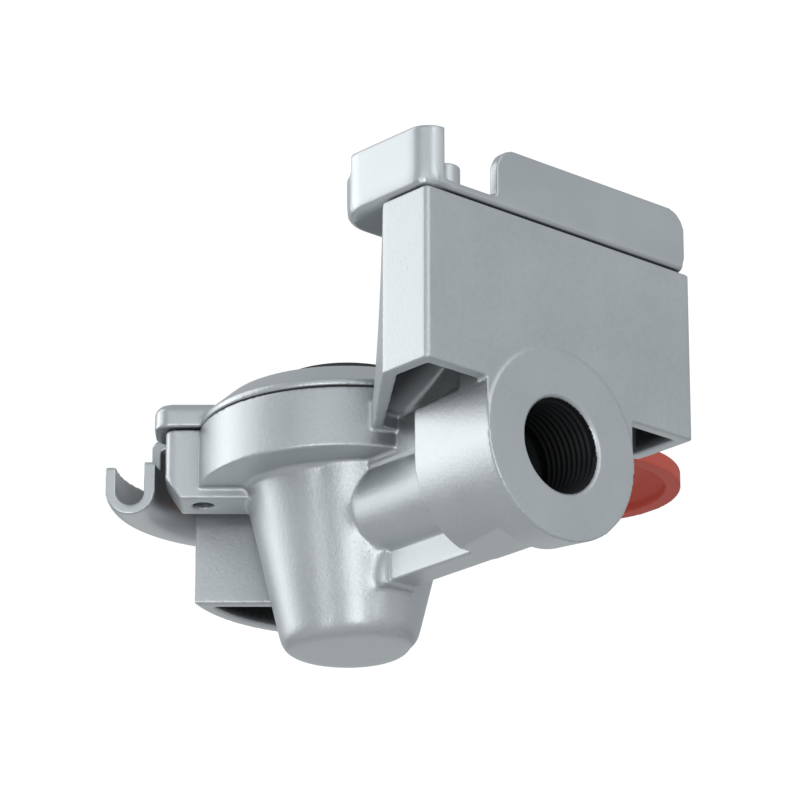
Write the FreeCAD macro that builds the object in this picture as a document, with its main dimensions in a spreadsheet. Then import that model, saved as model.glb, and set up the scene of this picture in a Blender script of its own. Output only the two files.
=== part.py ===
import FreeCAD, Part
import math
import os
import Sketcher

# Air brake coupling head with a filter bowl, in millimetres.
# Origin at the mouth of the port, +Y into the head, +Z towards the mating seal.

doc = FreeCAD.newDocument("coupling_head")
sheet = doc.addObject("Spreadsheet::Sheet", "sizes")
V = FreeCAD.Vector


class Size:
    """A length with the spreadsheet expression that gives it."""

    def __init__(self, value, text):
        self.value = float(value)
        self.text = text

    def __add__(self, other):
        other = as_size(other)
        return Size(self.value + other.value, "(" + self.text + " + " + other.text + ")")

    def __sub__(self, other):
        other = as_size(other)
        return Size(self.value - other.value, "(" + self.text + " - " + other.text + ")")

    def __mul__(self, other):
        other = as_size(other)
        return Size(self.value * other.value, "(" + self.text + " * " + other.text + ")")

    def __truediv__(self, other):
        other = as_size(other)
        return Size(self.value / other.value, "(" + self.text + " / " + other.text + ")")

    def __neg__(self):
        return Size(-self.value, "(0 - " + self.text + ")")

    def __radd__(self, other):
        return as_size(other) + self

    def __rsub__(self, other):
        return as_size(other) - self

    def __rmul__(self, other):
        return as_size(other) * self


def as_size(item):
    """A plain number becomes a size too."""
    if isinstance(item, Size):
        return item
    return Size(item, repr(float(item)))


rows = []


def size(alias, value):
    """Writes one driving dimension to the sheet."""
    rows.append(alias)
    cell = "B" + str(len(rows))
    sheet.set("A" + str(len(rows)), alias)
    sheet.set(cell, str(value))
    sheet.setAlias(cell, alias)
    return Size(value, "sizes." + alias)


# Port boss, pipe and rib
boss_radius = size("boss_radius", 20.6)
boss_length = size("boss_length", 25.4)
boss_rear_radius = size("boss_rear_radius", 18.3)
thread_radius = size("thread_radius", 10.19)
thread_depth = size("thread_depth", 17.0)
mouth_chamfer = size("mouth_chamfer", 0.6)
passage_radius = size("passage_radius", 8.0)
boss_ring_length = size("boss_ring_length", 9.9)
boss_cheek_top = size("boss_cheek_top", 10.4)
boss_flat_bottom = size("boss_flat_bottom", -17.5)
pipe_x = size("pipe_x", 2.0)
pipe_radius = size("pipe_radius", 11.7)
rib_x = size("rib_x", 1.05)
rib_half_width = size("rib_half_width", 3.4)
rib_bottom = size("rib_bottom", -17.5)

# Head axis, flange and filter bowl
head_x = size("head_x", 3.9)
head_y = size("head_y", 71.8)
flange_radius = size("flange_radius", 32.5)
flange_bottom = size("flange_bottom", 8.4)
flange_top = size("flange_top", 21.7)
bowl_top_radius = size("bowl_top_radius", 22.3)
bowl_base_radius = size("bowl_base_radius", 13.7)
bowl_base = size("bowl_base", -27.3)
bowl_round = size("bowl_round", 3.0)
bowl_neck_round = size("bowl_neck_round", 2.0)
bowl_wall = size("bowl_wall", 3.0)
bowl_bulge_shift = size("bowl_bulge_shift", 6.0)
bowl_bulge_inset = size("bowl_bulge_inset", 2.7)
pillar_half_width = size("pillar_half_width", 4.3)
pillar_reach = size("pillar_reach", 21.0)
pillar_bottom = size("pillar_bottom", -18.2)
cavity_top_radius = size("cavity_top_radius", 18.0)
cavity_base_radius = size("cavity_base_radius", 10.8)
seat_radius = size("seat_radius", 20.5)
seat_depth = size("seat_depth", 3.1)

# Tower that carries the claw plate
wall = size("wall", 2.9)
tower_left = size("tower_left", -37.1)
tower_right = size("tower_right", 38.6)
tower_bottom = size("tower_bottom", 10.2)
tower_top = size("tower_top", 47.8)
tower_depth = size("tower_depth", 13.9)
tower_front = size("tower_front", 0.35)
tower_tail_y = size("tower_tail_y", 44.0)
tower_tail_half = size("tower_tail_half", 17.3)
tower_tail_bottom = size("tower_tail_bottom", 12.4)
tower_tail_top = size("tower_tail_top", 18.2)
tower_slope_radius = size("tower_slope_radius", 40.0)
tower_edge_round = size("tower_edge_round", 1.0)
screw_post_radius = size("screw_post_radius", 4.6)
screw_post_length = size("screw_post_length", 8.0)

# Web between the boss, the tower and the head
web_x = size("web_x", 1.4)
web_half_width = size("web_half_width", 9.8)
web_bottom = size("web_bottom", 6.6)
web_rear_top = size("web_rear_top", 12.0)
web_top_y = size("web_top_y", 17.3)
web_top = size("web_top", 36.5)
cheek_wall_top = size("cheek_wall_top", 19.4)

# Screw lugs and pocket under the head
lug_turn = size("lug_turn", 138.4)
lug_half_width = size("lug_half_width", 5.5)
lug_reach = size("lug_reach", 39.5)
lug_bottom = size("lug_bottom", 11.1)
lug_foot_reach = size("lug_foot_reach", 36.0)
lug_foot_bottom = size("lug_foot_bottom", 5.9)
lug_corner_round = size("lug_corner_round", 2.6)
lug_tap_reach = size("lug_tap_reach", 31.2)
lug_tap_radius = size("lug_tap_radius", 2.3)
lug_tap_depth = size("lug_tap_depth", 5.0)
pocket_radius = size("pocket_radius", 35.0)
pocket_front = size("pocket_front", 10.2)
pocket_end = size("pocket_end", 12.0)
pocket_bottom = size("pocket_bottom", -12.9)
pocket_top = size("pocket_top", 8.6)

# Guide plate: ring, lugs and curled rim
sheet_metal = size("sheet_metal", 2.4)
gasket_thickness = size("gasket_thickness", 0.35)
ring_edge_height = size("ring_edge_height", 1.5)
ring_shoulder_radius = size("ring_shoulder_radius", 27.0)
ring_shoulder_top = size("ring_shoulder_top", 28.4)
ring_lip_radius = size("ring_lip_radius", 22.5)
ring_top = size("ring_top", 30.0)
ring_hole_radius = size("ring_hole_radius", 17.4)
plate_lug_reach = size("plate_lug_reach", 42.0)
plate_lug_half = size("plate_lug_half", 6.6)
plate_lug_top = size("plate_lug_top", 27.8)
plate_lug_round = size("plate_lug_round", 4.0)
plate_lug_edge = size("plate_lug_edge", 2.4)
rim_outer_radius = size("rim_outer_radius", 52.7)
rim_inner_radius = size("rim_inner_radius", 41.9)
rim_bottom = size("rim_bottom", 3.8)
rim_outer_top = size("rim_outer_top", 15.0)
rim_inner_top = size("rim_inner_top", 16.2)
rim_arc = size("rim_arc", 76.0)
rim_rise = size("rim_rise", 6.6)
rim_join_start = size("rim_join_start", 126.0)
rim_join_arc = size("rim_join_arc", 60.0)
rim_join_bottom = size("rim_join_bottom", 16.9)

# Cover and its pivot
cover_turn = size("cover_turn", 11.0)
cover_pivot_radius = size("cover_pivot_radius", 43.4)
cover_radius = size("cover_radius", 24.2)
cover_rim_width = size("cover_rim_width", 3.5)
cover_swing_gap = size("cover_swing_gap", 0.3)
cover_side_height = size("cover_side_height", 3.9)
cover_height = size("cover_height", 8.3)
cover_skin = size("cover_skin", 2.6)
arm_half_width = size("arm_half_width", 5.0)
arm_height = size("arm_height", 4.0)
hub_radius = size("hub_radius", 6.3)
pivot_lug_radius = size("pivot_lug_radius", 6.4)
pivot_lug_thickness = size("pivot_lug_thickness", 3.5)
pin_radius = size("pin_radius", 3.0)
pin_clearance = size("pin_clearance", 0.05)
pin_head_radius = size("pin_head_radius", 5.0)
pin_head_height = size("pin_head_height", 1.8)
washer_radius = size("washer_radius", 5.6)
washer_thickness = size("washer_thickness", 0.6)
hub_gap = size("hub_gap", 0.1)
clip_radius = size("clip_radius", 5.0)
clip_thickness = size("clip_thickness", 0.8)
clip_mouth = size("clip_mouth", 1.6)
pin_tail = size("pin_tail", 1.2)

# Claw plate
claw_gap = size("claw_gap", 0.35)
claw_left = size("claw_left", -37.4)
claw_right = size("claw_right", 37.0)
claw_depth = size("claw_depth", 30.4)
claw_corner = size("claw_corner", 5.0)
claw_rear_corner = size("claw_rear_corner", 9.0)
claw_lip_height = size("claw_lip_height", 13.6)
claw_rear_lip_height = size("claw_rear_lip_height", 9.3)
claw_return = size("claw_return", 5.0)
claw_side_end = size("claw_side_end", 24.3)
claw_rear_end = size("claw_rear_end", 13.0)
claw_bend = size("claw_bend", 2.2)
claw_front_bend = size("claw_front_bend", 0.8)
fin_left = size("fin_left", -17.8)
fin_corner = size("fin_corner", 5.4)
hook_radius = size("hook_radius", 48.3)
hook_height = size("hook_height", 8.6)
hook_half_arc = size("hook_half_arc", 23.0)
stud_radius = size("stud_radius", 3.1)
stud_height = size("stud_height", 5.2)
stud_shank = size("stud_shank", 2.0)
stud_x = size("stud_x", -27.2)
stud_y = size("stud_y", 5.6)

# Screws
screw_radius = size("screw_radius", 2.45)
screw_clearance = size("screw_clearance", 0.05)
screw_head_radius = size("screw_head_radius", 4.3)
screw_head_height = size("screw_head_height", 1.9)
screw_length = size("screw_length", 12.0)
claw_screw_x = size("claw_screw_x", 21.0)
claw_screw_y = size("claw_screw_y", 8.0)
guide_screw_reach = size("guide_screw_reach", 36.0)

# Seal and filter
seal_hole_radius = size("seal_hole_radius", 9.5)
seal_radius = size("seal_radius", 16.7)
seal_top = size("seal_top", 33.5)
seal_foot_radius = size("seal_foot_radius", 20.1)
seal_foot_height = size("seal_foot_height", 2.7)
seal_round = size("seal_round", 1.2)
support_height = size("support_height", 3.3)
fit_gap = size("fit_gap", 0.3)
collar_thickness = size("collar_thickness", 2.5)
collar_hole_radius = size("collar_hole_radius", 8.5)
collar_sleeve = size("collar_sleeve", 4.0)
sieve_radius = size("sieve_radius", 9.5)
sieve_wall = size("sieve_wall", 0.6)
sieve_length = size("sieve_length", 27.6)
cap_thickness = size("cap_thickness", 2.0)
cap_rim = size("cap_rim", 3.0)
cap_spigot_radius = size("cap_spigot_radius", 4.6)
cap_spigot_length = size("cap_spigot_length", 3.0)

zero = as_size(0)
full = 360.0
doc.recompute()


def new_body(name, at_head=False, x=None, y=None, z=None):
    """A body, placed at the head axis or at a point of its own."""
    body = doc.addObject("PartDesign::Body", name)
    body.Label = name
    if at_head:
        x = head_x
        y = head_y
    if x is not None:
        body.setExpression("Placement.Base.x", x.text)
    if y is not None:
        body.setExpression("Placement.Base.y", y.text)
    if z is not None:
        body.setExpression("Placement.Base.z", z.text)
    return body


def origin_plane(body, role):
    """One of the body's own origin planes."""
    for item in body.Origin.OriginFeatures:
        if item.Role == role:
            return item
    raise ValueError(role)


def sketch(body, role, name, lift=None, turn=None):
    """A sketch on an origin plane, lifted along its normal or turned about the head axis."""
    sk = body.newObject("Sketcher::SketchObject", name)
    sk.AttachmentSupport = (origin_plane(body, role), [""])
    sk.MapMode = "FlatFace"
    axis = V(0, 0, 1)
    if role == "XZ_Plane":
        axis = V(0, 1, 0)
    angle = 0.0
    if turn is not None:
        angle = turn.value
    height = 0.0
    if lift is not None:
        height = lift.value
    sk.AttachmentOffset = FreeCAD.Placement(V(0, 0, height), FreeCAD.Rotation(axis, angle))
    if lift is not None:
        sk.setExpression("AttachmentOffset.Base.z", lift.text)
    if turn is not None:
        sk.setExpression("AttachmentOffset.Rotation.Angle", turn.text)
    return sk


def drive(sk, index, item):
    """Ties a constraint to the sheet."""
    if item.text != repr(item.value):
        sk.setExpression("Constraints[" + str(index) + "]", item.text)


def pin_point(sk, geo, pos, x, y):
    """Fixes a point of the sketch by its two coordinates."""
    if x.value == 0.0:
        sk.addConstraint(Sketcher.Constraint("PointOnObject", geo, pos, -2))
    else:
        drive(sk, sk.addConstraint(Sketcher.Constraint("DistanceX", -1, 1, geo, pos, x.value)), x)
    if y.value == 0.0:
        sk.addConstraint(Sketcher.Constraint("PointOnObject", geo, pos, -1))
    else:
        drive(sk, sk.addConstraint(Sketcher.Constraint("DistanceY", -1, 1, geo, pos, y.value)), y)


def outline(sk, points, arcs=None):
    """A closed outline through the points; arcs gives a radius for the run that leaves a point."""
    arcs = arcs or {}
    points = [(as_size(x), as_size(y)) for x, y in points]
    first = sk.GeometryCount
    count = len(points)
    ends = []
    for i in range(count):
        a = V(points[i][0].value, points[i][1].value, 0)
        b = V(points[(i + 1) % count][0].value, points[(i + 1) % count][1].value, 0)
        if i in arcs:
            radius, side = arcs[i]
            half = (b - a).Length / 2.0
            across = V(a.y - b.y, b.x - a.x, 0).normalize()
            rise = (radius.value ** 2 - half ** 2) ** 0.5
            centre = (a + b) / 2.0 - across * rise * side
            angle_a = math.atan2(a.y - centre.y, a.x - centre.x)
            angle_b = math.atan2(b.y - centre.y, b.x - centre.x)
            ring = Part.Circle(centre, V(0, 0, 1), radius.value)
            if side > 0:
                sk.addGeometry(Part.ArcOfCircle(ring, angle_b, angle_a), False)
                ends.append((2, 1))
            else:
                sk.addGeometry(Part.ArcOfCircle(ring, angle_a, angle_b), False)
                ends.append((1, 2))
        else:
            sk.addGeometry(Part.LineSegment(a, b), False)
            ends.append((1, 2))
    for i in range(count):
        after = (i + 1) % count
        pair = (first + i, ends[i][1], first + after, ends[after][0])
        sk.addConstraint(Sketcher.Constraint("Coincident", *pair))
    for i in range(count):
        pin_point(sk, first + i, ends[i][0], points[i][0], points[i][1])
    for i, (radius, side) in arcs.items():
        drive(sk, sk.addConstraint(Sketcher.Constraint("Radius", first + i, radius.value)), radius)


def rectangle(sk, x0, y0, x1, y1):
    """An upright rectangle between two corners."""
    outline(sk, [(x0, y0), (x1, y0), (x1, y1), (x0, y1)])


def circle(sk, x, y, radius):
    """A circle about a point."""
    x = as_size(x)
    y = as_size(y)
    geo = sk.addGeometry(Part.Circle(V(x.value, y.value, 0), V(0, 0, 1), radius.value), False)
    pin_point(sk, geo, 3, x, y)
    drive(sk, sk.addConstraint(Sketcher.Constraint("Radius", geo, radius.value)), radius)


def grow(body, kind, name, sk, length=None, angle=None, back=False, middle=False):
    """A pad, pocket, revolution or groove, which must change the volume the right way."""
    before = 0.0
    if body.Tip is not None and not body.Tip.Shape.isNull() and body.Tip.Shape.Solids:
        before = body.Tip.Shape.Volume
    item = body.newObject("PartDesign::" + kind, name)
    item.Profile = sk
    if kind in ("Revolution", "Groove"):
        item.ReferenceAxis = (sk, ["V_Axis"])
        if angle is None:
            item.Angle = full
        else:
            item.setExpression("Angle", as_size(angle).text)
    else:
        item.setExpression("Length", as_size(length).text)
    item.Reversed = back
    item.Midplane = middle
    sk.Visibility = False
    doc.recompute()
    after = item.Shape.Volume
    if kind in ("Pad", "Revolution") and not after > before + 1e-3:
        raise ValueError(name + " adds nothing")
    if kind in ("Pocket", "Groove") and not after < before - 1e-3:
        raise ValueError(name + " cuts nothing")
    return item


def edge_names(item, test):
    """Names of the edges whose middle passes the test."""
    names = []
    for number, edge in enumerate(item.Shape.Edges, 1):
        middle = edge.valueAt((edge.FirstParameter + edge.LastParameter) / 2.0)
        if test(edge, middle):
            names.append("Edge" + str(number))
    if not names:
        raise ValueError("no edges for " + item.Name)
    return names


def soften(body, kind, name, test, amount):
    """A fillet or chamfer on chosen edges of the body's tip."""
    base = body.Tip
    names = edge_names(base, test)
    item = body.newObject("PartDesign::" + kind, name)
    item.Base = (base, names)
    prop = "Radius" if kind == "Fillet" else "Size"
    item.setExpression(prop, as_size(amount).text)
    base.Visibility = False
    doc.recompute()
    return item


def near(a, b):
    """True where two lengths agree."""
    return abs(a - b) < 0.02


def upright(edge):
    """True for a straight edge along Z."""
    ends = edge.Vertexes
    if len(ends) != 2 or edge.Curve.TypeId != "Part::GeomLine":
        return False
    run = ends[1].Point - ends[0].Point
    return abs(run.x) < 1e-4 and abs(run.y) < 1e-4


def fuse(name, items):
    """Several solids joined as one."""
    item = doc.addObject("Part::MultiFuse", name)
    item.Shapes = items
    item.Refine = True
    item.Label = name
    doc.recompute()
    return item


def cut(name, base, tool):
    """One solid less another."""
    item = doc.addObject("Part::Cut", name)
    item.Base = base
    item.Tool = tool
    item.Refine = True
    item.Label = name
    doc.recompute()
    return item


nodes = []


# Casting: head flange and filter bowl, turned about the head axis
bowl = new_body("bowl_form", at_head=True)
sk = sketch(bowl, "XZ_Plane", "bowl_profile")
outline(sk, [
    (zero, bowl_base),
    (bowl_base_radius, bowl_base),
    (bowl_top_radius, flange_bottom),
    (flange_radius, flange_bottom),
    (flange_radius, flange_top),
    (zero, flange_top),
])
grow(bowl, "Revolution", "bowl_turned", sk)
soften(bowl, "Fillet", "bowl_base_edge",
       lambda e, m: near(m.z, bowl_base.value) and near((m.x ** 2 + m.y ** 2) ** 0.5, bowl_base_radius.value),
       bowl_round)
soften(bowl, "Fillet", "bowl_neck_edge",
       lambda e, m: near(m.z, flange_bottom.value) and near((m.x ** 2 + m.y ** 2) ** 0.5, bowl_top_radius.value),
       bowl_neck_round)


def screw_lug(name, turn):
    """Lug on the flange with a stepped foot, pointing away from the head axis."""
    body = new_body(name, at_head=True)
    sk = sketch(body, "XZ_Plane", name + "_profile", turn=turn)
    outline(sk, [
        (bowl_base_radius, lug_foot_bottom),
        (lug_foot_reach, lug_foot_bottom),
        (lug_reach, lug_bottom),
        (lug_reach, flange_top),
        (bowl_base_radius, flange_top),
    ])
    grow(body, "Pad", name + "_pad", sk, length=lug_half_width * 2, middle=True)
    soften(body, "Fillet", name + "_corners",
           lambda e, m: upright(e) and near((m.x ** 2 + m.y ** 2) ** 0.5,
                                            (lug_reach.value ** 2 + lug_half_width.value ** 2) ** 0.5),
           lug_corner_round)
    return body


lug_left = screw_lug("lug_left_form", lug_turn)
lug_right = screw_lug("lug_right_form", lug_turn - 180)

# Casting: port boss, pipe and rib
port = new_body("port_form")
sk = sketch(port, "YZ_Plane", "boss_profile")
outline(sk, [
    (zero, zero),
    (boss_length, zero),
    (boss_length, boss_rear_radius),
    (zero, boss_radius),
])
boss_turned = port.newObject("PartDesign::Revolution", "boss_turned")
boss_turned.Profile = sk
boss_turned.ReferenceAxis = (sk, ["H_Axis"])
boss_turned.Angle = full
doc.recompute()
sk = sketch(port, "XZ_Plane", "pipe_profile")
circle(sk, pipe_x, zero, pipe_radius)
grow(port, "Pad", "pipe_pad", sk, length=head_y - bowl_base_radius, back=True)
sk = sketch(port, "XZ_Plane", "rib_profile")
rectangle(sk, rib_x - rib_half_width, rib_bottom, rib_x + rib_half_width, zero)
grow(port, "Pad", "rib_pad", sk, length=head_y - bowl_base_radius, back=True)


def tower_form(name, inset, ceiling, floor_drop):
    """Tower outline: a side profile cut down to the plan, inset by a wall thickness."""
    body = new_body(name)
    sk = sketch(body, "YZ_Plane", name + "_side")
    slope_in = inset * 0.9
    outline(sk, [
        (tower_front + inset, tower_bottom - floor_drop),
        (tower_depth, tower_bottom - floor_drop),
        (tower_tail_y - slope_in, tower_tail_bottom - floor_drop),
        (tower_tail_y - slope_in, tower_tail_top - inset),
        (tower_depth - slope_in, tower_top - ceiling),
        (tower_front + inset, tower_top - ceiling),
    ], {3: (tower_slope_radius + inset, 1)})
    grow(body, "Pad", name + "_pad", sk, length=(tower_right - tower_left) * 2, middle=True)
    sk = sketch(body, "XY_Plane", name + "_plan", lift=tower_top + 10)
    left = tower_left + inset
    right = tower_right - inset
    spread = (tower_right - tower_left) * 1.2
    rectangle(sk, -spread, -spread, spread, spread)
    outline(sk, [
        (left, -wall),
        (right, -wall),
        (right, tower_depth + wall - inset * 0.4),
        (head_x + tower_tail_half - inset, tower_tail_y),
        (head_x - tower_tail_half + inset, tower_tail_y),
        (left, tower_depth - inset * 0.4),
    ])
    grow(body, "Pocket", name + "_trim", sk, length=(tower_top - tower_bottom) * 3)
    return body


tower_outer = tower_form("tower_outer", zero, zero, zero)
soften(tower_outer, "Fillet", "tower_front_edges",
       lambda e, m: upright(e) and near(m.y, tower_front.value),
       tower_edge_round)
tower_inner = tower_form("tower_inner", wall, wall, wall)
tower_shell = cut("tower_shell", tower_outer, tower_inner)

posts = new_body("post_form")
sk = sketch(posts, "XY_Plane", "post_plan", lift=tower_top - wall - screw_post_length)
circle(sk, claw_screw_x, claw_screw_y, screw_post_radius)
circle(sk, -claw_screw_x, claw_screw_y, screw_post_radius)
post_pad = posts.newObject("PartDesign::Pad", "post_pad")
post_pad.Profile = sk
post_pad.setExpression("Length", (screw_post_length + wall / 2).text)
post_pad.AllowMultiFace = True
doc.recompute()

# Casting: bulge of the bowl towards the port
bulge = new_body("bulge_form", x=head_x, y=head_y - bowl_bulge_shift)
sk = sketch(bulge, "XZ_Plane", "bulge_profile")
outline(sk, [
    (zero, bowl_base),
    (bowl_base_radius - bowl_bulge_inset, bowl_base),
    (bowl_top_radius - bowl_bulge_inset, flange_bottom),
    (zero, flange_bottom),
])
grow(bulge, "Revolution", "bulge_turned", sk)
soften(bulge, "Fillet", "bulge_base_edge",
       lambda e, m: near(m.z, bowl_base.value) and (m.x ** 2 + m.y ** 2) ** 0.5 > 1.0,
       bowl_round)

# Casting: pillar on the bowl behind the rib
pillar = new_body("pillar_form", x=rib_x)
sk = sketch(pillar, "XY_Plane", "pillar_plan", lift=pillar_bottom)
rectangle(sk, -pillar_half_width, head_y - pillar_reach, pillar_half_width, head_y - bowl_base_radius + 2)
grow(pillar, "Pad", "pillar_pad", sk, length=-pillar_bottom)

# Casting: upright cheeks beside the boss, the front pair reaching up inside the tower
cheeks = new_body("cheek_form")
sk = sketch(cheeks, "XY_Plane", "cheek_plan", lift=zero)
outline(sk, [
    (-boss_radius, tower_front),
    (boss_radius, tower_front),
    (boss_rear_radius, boss_length),
    (-boss_rear_radius, boss_length),
])
grow(cheeks, "Pad", "cheek_pad", sk, length=boss_cheek_top)
boss_taper = boss_radius - (boss_radius - boss_rear_radius) * boss_ring_length / boss_length
sk = sketch(cheeks, "XY_Plane", "cheek_wall_plan", lift=zero)
outline(sk, [
    (-boss_radius, tower_front),
    (boss_radius, tower_front),
    (boss_taper, boss_ring_length),
    (-boss_taper, boss_ring_length),
])
grow(cheeks, "Pad", "cheek_wall_pad", sk, length=cheek_wall_top)

# Casting: web along the pipe from the cheeks to the bowl, under the tower's curved back
web = new_body("web_form", x=web_x)
sk = sketch(web, "YZ_Plane", "web_side")
outline(sk, [
    (boss_ring_length - 1, web_bottom),
    (head_y - bowl_base_radius, web_bottom),
    (head_y - bowl_base_radius, web_rear_top),
    (tower_tail_y - wall * 0.35, tower_tail_top - wall * 0.45),
    (web_top_y, web_top),
    (boss_ring_length - 1, web_top),
], {3: (tower_slope_radius + wall * 0.5, 1)})
grow(web, "Pad", "web_pad", sk, length=web_half_width * 2, middle=True)

# Casting: hollow half-round pocket behind the bowl
pocket = new_body("pocket_form", at_head=True)
sk = sketch(pocket, "XY_Plane", "pocket_plan", lift=pocket_bottom, turn=lug_turn - 180)
pocket_chord = Size((pocket_radius.value ** 2 - pocket_front.value ** 2) ** 0.5,
                    "sqrt(sizes.pocket_radius ^ 2 - sizes.pocket_front ^ 2)")
pocket_side = Size((pocket_radius.value ** 2 - pocket_end.value ** 2) ** 0.5,
                   "sqrt(sizes.pocket_radius ^ 2 - sizes.pocket_end ^ 2)")
outline(sk, [
    (-pocket_chord, pocket_front),
    (pocket_end, pocket_front),
    (pocket_end, pocket_side),
], {2: (pocket_radius, -1)})
grow(pocket, "Pad", "pocket_pad", sk, length=pocket_top - pocket_bottom)
hollow_radius = pocket_radius - wall
hollow_front = pocket_front + wall
hollow_end = pocket_end - wall
hollow_chord = Size((hollow_radius.value ** 2 - hollow_front.value ** 2) ** 0.5,
                    "sqrt(" + hollow_radius.text + " ^ 2 - " + hollow_front.text + " ^ 2)")
hollow_side = Size((hollow_radius.value ** 2 - hollow_end.value ** 2) ** 0.5,
                   "sqrt(" + hollow_radius.text + " ^ 2 - " + hollow_end.text + " ^ 2)")
sk = sketch(pocket, "XY_Plane", "pocket_hollow_plan", lift=pocket_bottom, turn=lug_turn - 180)
outline(sk, [
    (-hollow_chord, hollow_front),
    (hollow_end, hollow_front),
    (hollow_end, hollow_side),
], {2: (hollow_radius, -1)})
grow(pocket, "Pocket", "pocket_hollow", sk, length=pocket_top - pocket_bottom - wall, back=True)

rough_casting = fuse("rough_casting", [bowl, lug_left, lug_right, port, tower_shell, posts, cheeks, web,
                                      bulge, pillar, pocket])

# Casting: cavity of the bowl, air passage, thread bore and screw holes
cavity = new_body("cavity_form", at_head=True)
sk = sketch(cavity, "XZ_Plane", "cavity_profile")
outline(sk, [
    (zero, bowl_base + bowl_wall),
    (cavity_base_radius, bowl_base + bowl_wall),
    (cavity_top_radius, flange_top - seat_depth),
    (seat_radius, flange_top - seat_depth),
    (seat_radius, flange_top + 1),
    (zero, flange_top + 1),
])
grow(cavity, "Revolution", "cavity_turned", sk)

bore = new_body("bore_form")
sk = sketch(bore, "YZ_Plane", "bore_profile")
outline(sk, [
    (as_size(-1), zero),
    (head_y - cavity_base_radius, zero),
    (head_y - cavity_base_radius, passage_radius),
    (thread_depth + thread_radius - passage_radius, passage_radius),
    (thread_depth, thread_radius),
    (mouth_chamfer, thread_radius),
    (zero, thread_radius + mouth_chamfer),
    (as_size(-1), thread_radius + mouth_chamfer),
])
bore_turned = bore.newObject("PartDesign::Revolution", "bore_turned")
bore_turned.Profile = sk
bore_turned.ReferenceAxis = (sk, ["H_Axis"])
bore_turned.Angle = full
doc.recompute()


def hole_form(name, radius, bottom, height, x=None, y=None, turn=None, reach=None):
    """Round tool for a screw hole."""
    body = new_body(name, at_head=turn is not None)
    sk = sketch(body, "XY_Plane", name + "_plan", lift=bottom, turn=turn)
    if reach is not None:
        circle(sk, reach, zero, radius)
    else:
        circle(sk, x, y, radius)
    grow(body, "Pad", name + "_pad", sk, length=height)
    return body


flat = new_body("boss_flat_form")
sk = sketch(flat, "XZ_Plane", "boss_flat_section", lift=-boss_ring_length)
flat_right = rib_x + rib_half_width
outline(sk, [
    (-boss_radius, -boss_radius * 1.2),
    (boss_radius, -boss_radius * 1.2),
    (boss_radius, boss_flat_bottom + (boss_radius - flat_right) * 0.58),
    (flat_right, boss_flat_bottom),
    (-boss_radius, boss_flat_bottom),
])
grow(flat, "Pad", "boss_flat_pad", sk, length=boss_length - boss_ring_length, back=True)

screw_hole = screw_radius + screw_clearance
claw_seat = tower_top + claw_gap
ring_seat = flange_top + gasket_thickness
claw_screw_base = claw_seat + sheet_metal - screw_length
guide_screw_base = plate_lug_top - screw_length
tools = [
    cavity,
    bore,
    flat,
    hole_form("claw_hole_left", screw_hole, claw_screw_base - 1, screw_length + 4, -claw_screw_x, claw_screw_y),
    hole_form("claw_hole_right", screw_hole, claw_screw_base - 1, screw_length + 4, claw_screw_x, claw_screw_y),
    hole_form("guide_hole_left", screw_hole, guide_screw_base - 1, screw_length + 4,
              turn=lug_turn, reach=guide_screw_reach),
    hole_form("guide_hole_right", screw_hole, guide_screw_base - 1, screw_length + 4,
              turn=lug_turn - 180, reach=guide_screw_reach),
    hole_form("stud_hole", stud_shank + screw_clearance, tower_top - wall - 1, wall + 4, stud_x, stud_y),
    hole_form("lug_tap_left", lug_tap_radius, lug_foot_bottom - 1, lug_tap_depth + 1,
              turn=lug_turn, reach=lug_tap_reach),
    hole_form("lug_tap_right", lug_tap_radius, lug_foot_bottom - 1, lug_tap_depth + 1,
              turn=lug_turn - 180, reach=lug_tap_reach),
]
casting = cut("body_casting", rough_casting, fuse("casting_tools", tools))
nodes.append(casting)


def screw(name, top, x=None, y=None, turn=None, reach=None):
    """Countersunk screw with its head flush at the given height."""
    body = new_body(name, at_head=turn is not None)
    if turn is None:
        body.setExpression("Placement.Base.x", as_size(x).text)
        body.setExpression("Placement.Base.y", as_size(y).text)
    sk = body.newObject("Sketcher::SketchObject", name + "_profile")
    sk.AttachmentSupport = (origin_plane(body, "XZ_Plane"), [""])
    sk.MapMode = "FlatFace"
    start = zero
    if reach is not None:
        sk.AttachmentOffset = FreeCAD.Placement(V(0, 0, 0), FreeCAD.Rotation(V(0, 1, 0), turn.value))
        sk.setExpression("AttachmentOffset.Rotation.Angle", turn.text)
        start = reach
    outline(sk, [
        (start, top - screw_length),
        (start + screw_radius, top - screw_length),
        (start + screw_radius, top - screw_head_height),
        (start + screw_head_radius, top),
        (start, top),
    ])
    item = body.newObject("PartDesign::Revolution", name + "_turned")
    item.Profile = sk
    item.ReferenceAxis = (sk, ["Edge5"])
    item.Angle = full
    doc.recompute()
    return body


# Claw plate, pressed from sheet
claw = new_body("claw_plate")
claw_top = claw_seat + sheet_metal
sk = sketch(claw, "XY_Plane", "claw_plan", lift=claw_seat)
rectangle(sk, claw_left, zero, claw_right, claw_depth)
grow(claw, "Pad", "claw_blank", sk, length=claw_lip_height)
soften(claw, "Fillet", "claw_front_corner",
       lambda e, m: upright(e) and near(m.x, claw_left.value) and near(m.y, 0.0),
       claw_corner)
soften(claw, "Fillet", "claw_back_corner",
       lambda e, m: upright(e) and near(m.x, claw_left.value) and near(m.y, claw_depth.value),
       claw_rear_corner)
soften(claw, "Fillet", "claw_bends",
       lambda e, m: near(m.z, claw_seat.value) and m.y < claw_depth.value - 0.5 and m.x < claw_right.value - 0.5,
       claw_bend)
sk = sketch(claw, "XY_Plane", "claw_tray_plan", lift=claw_top)
inner_left = claw_left + sheet_metal
inner_corner = claw_corner - sheet_metal
inner_rear_corner = claw_rear_corner - sheet_metal
inner_rear = claw_depth - sheet_metal
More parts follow.
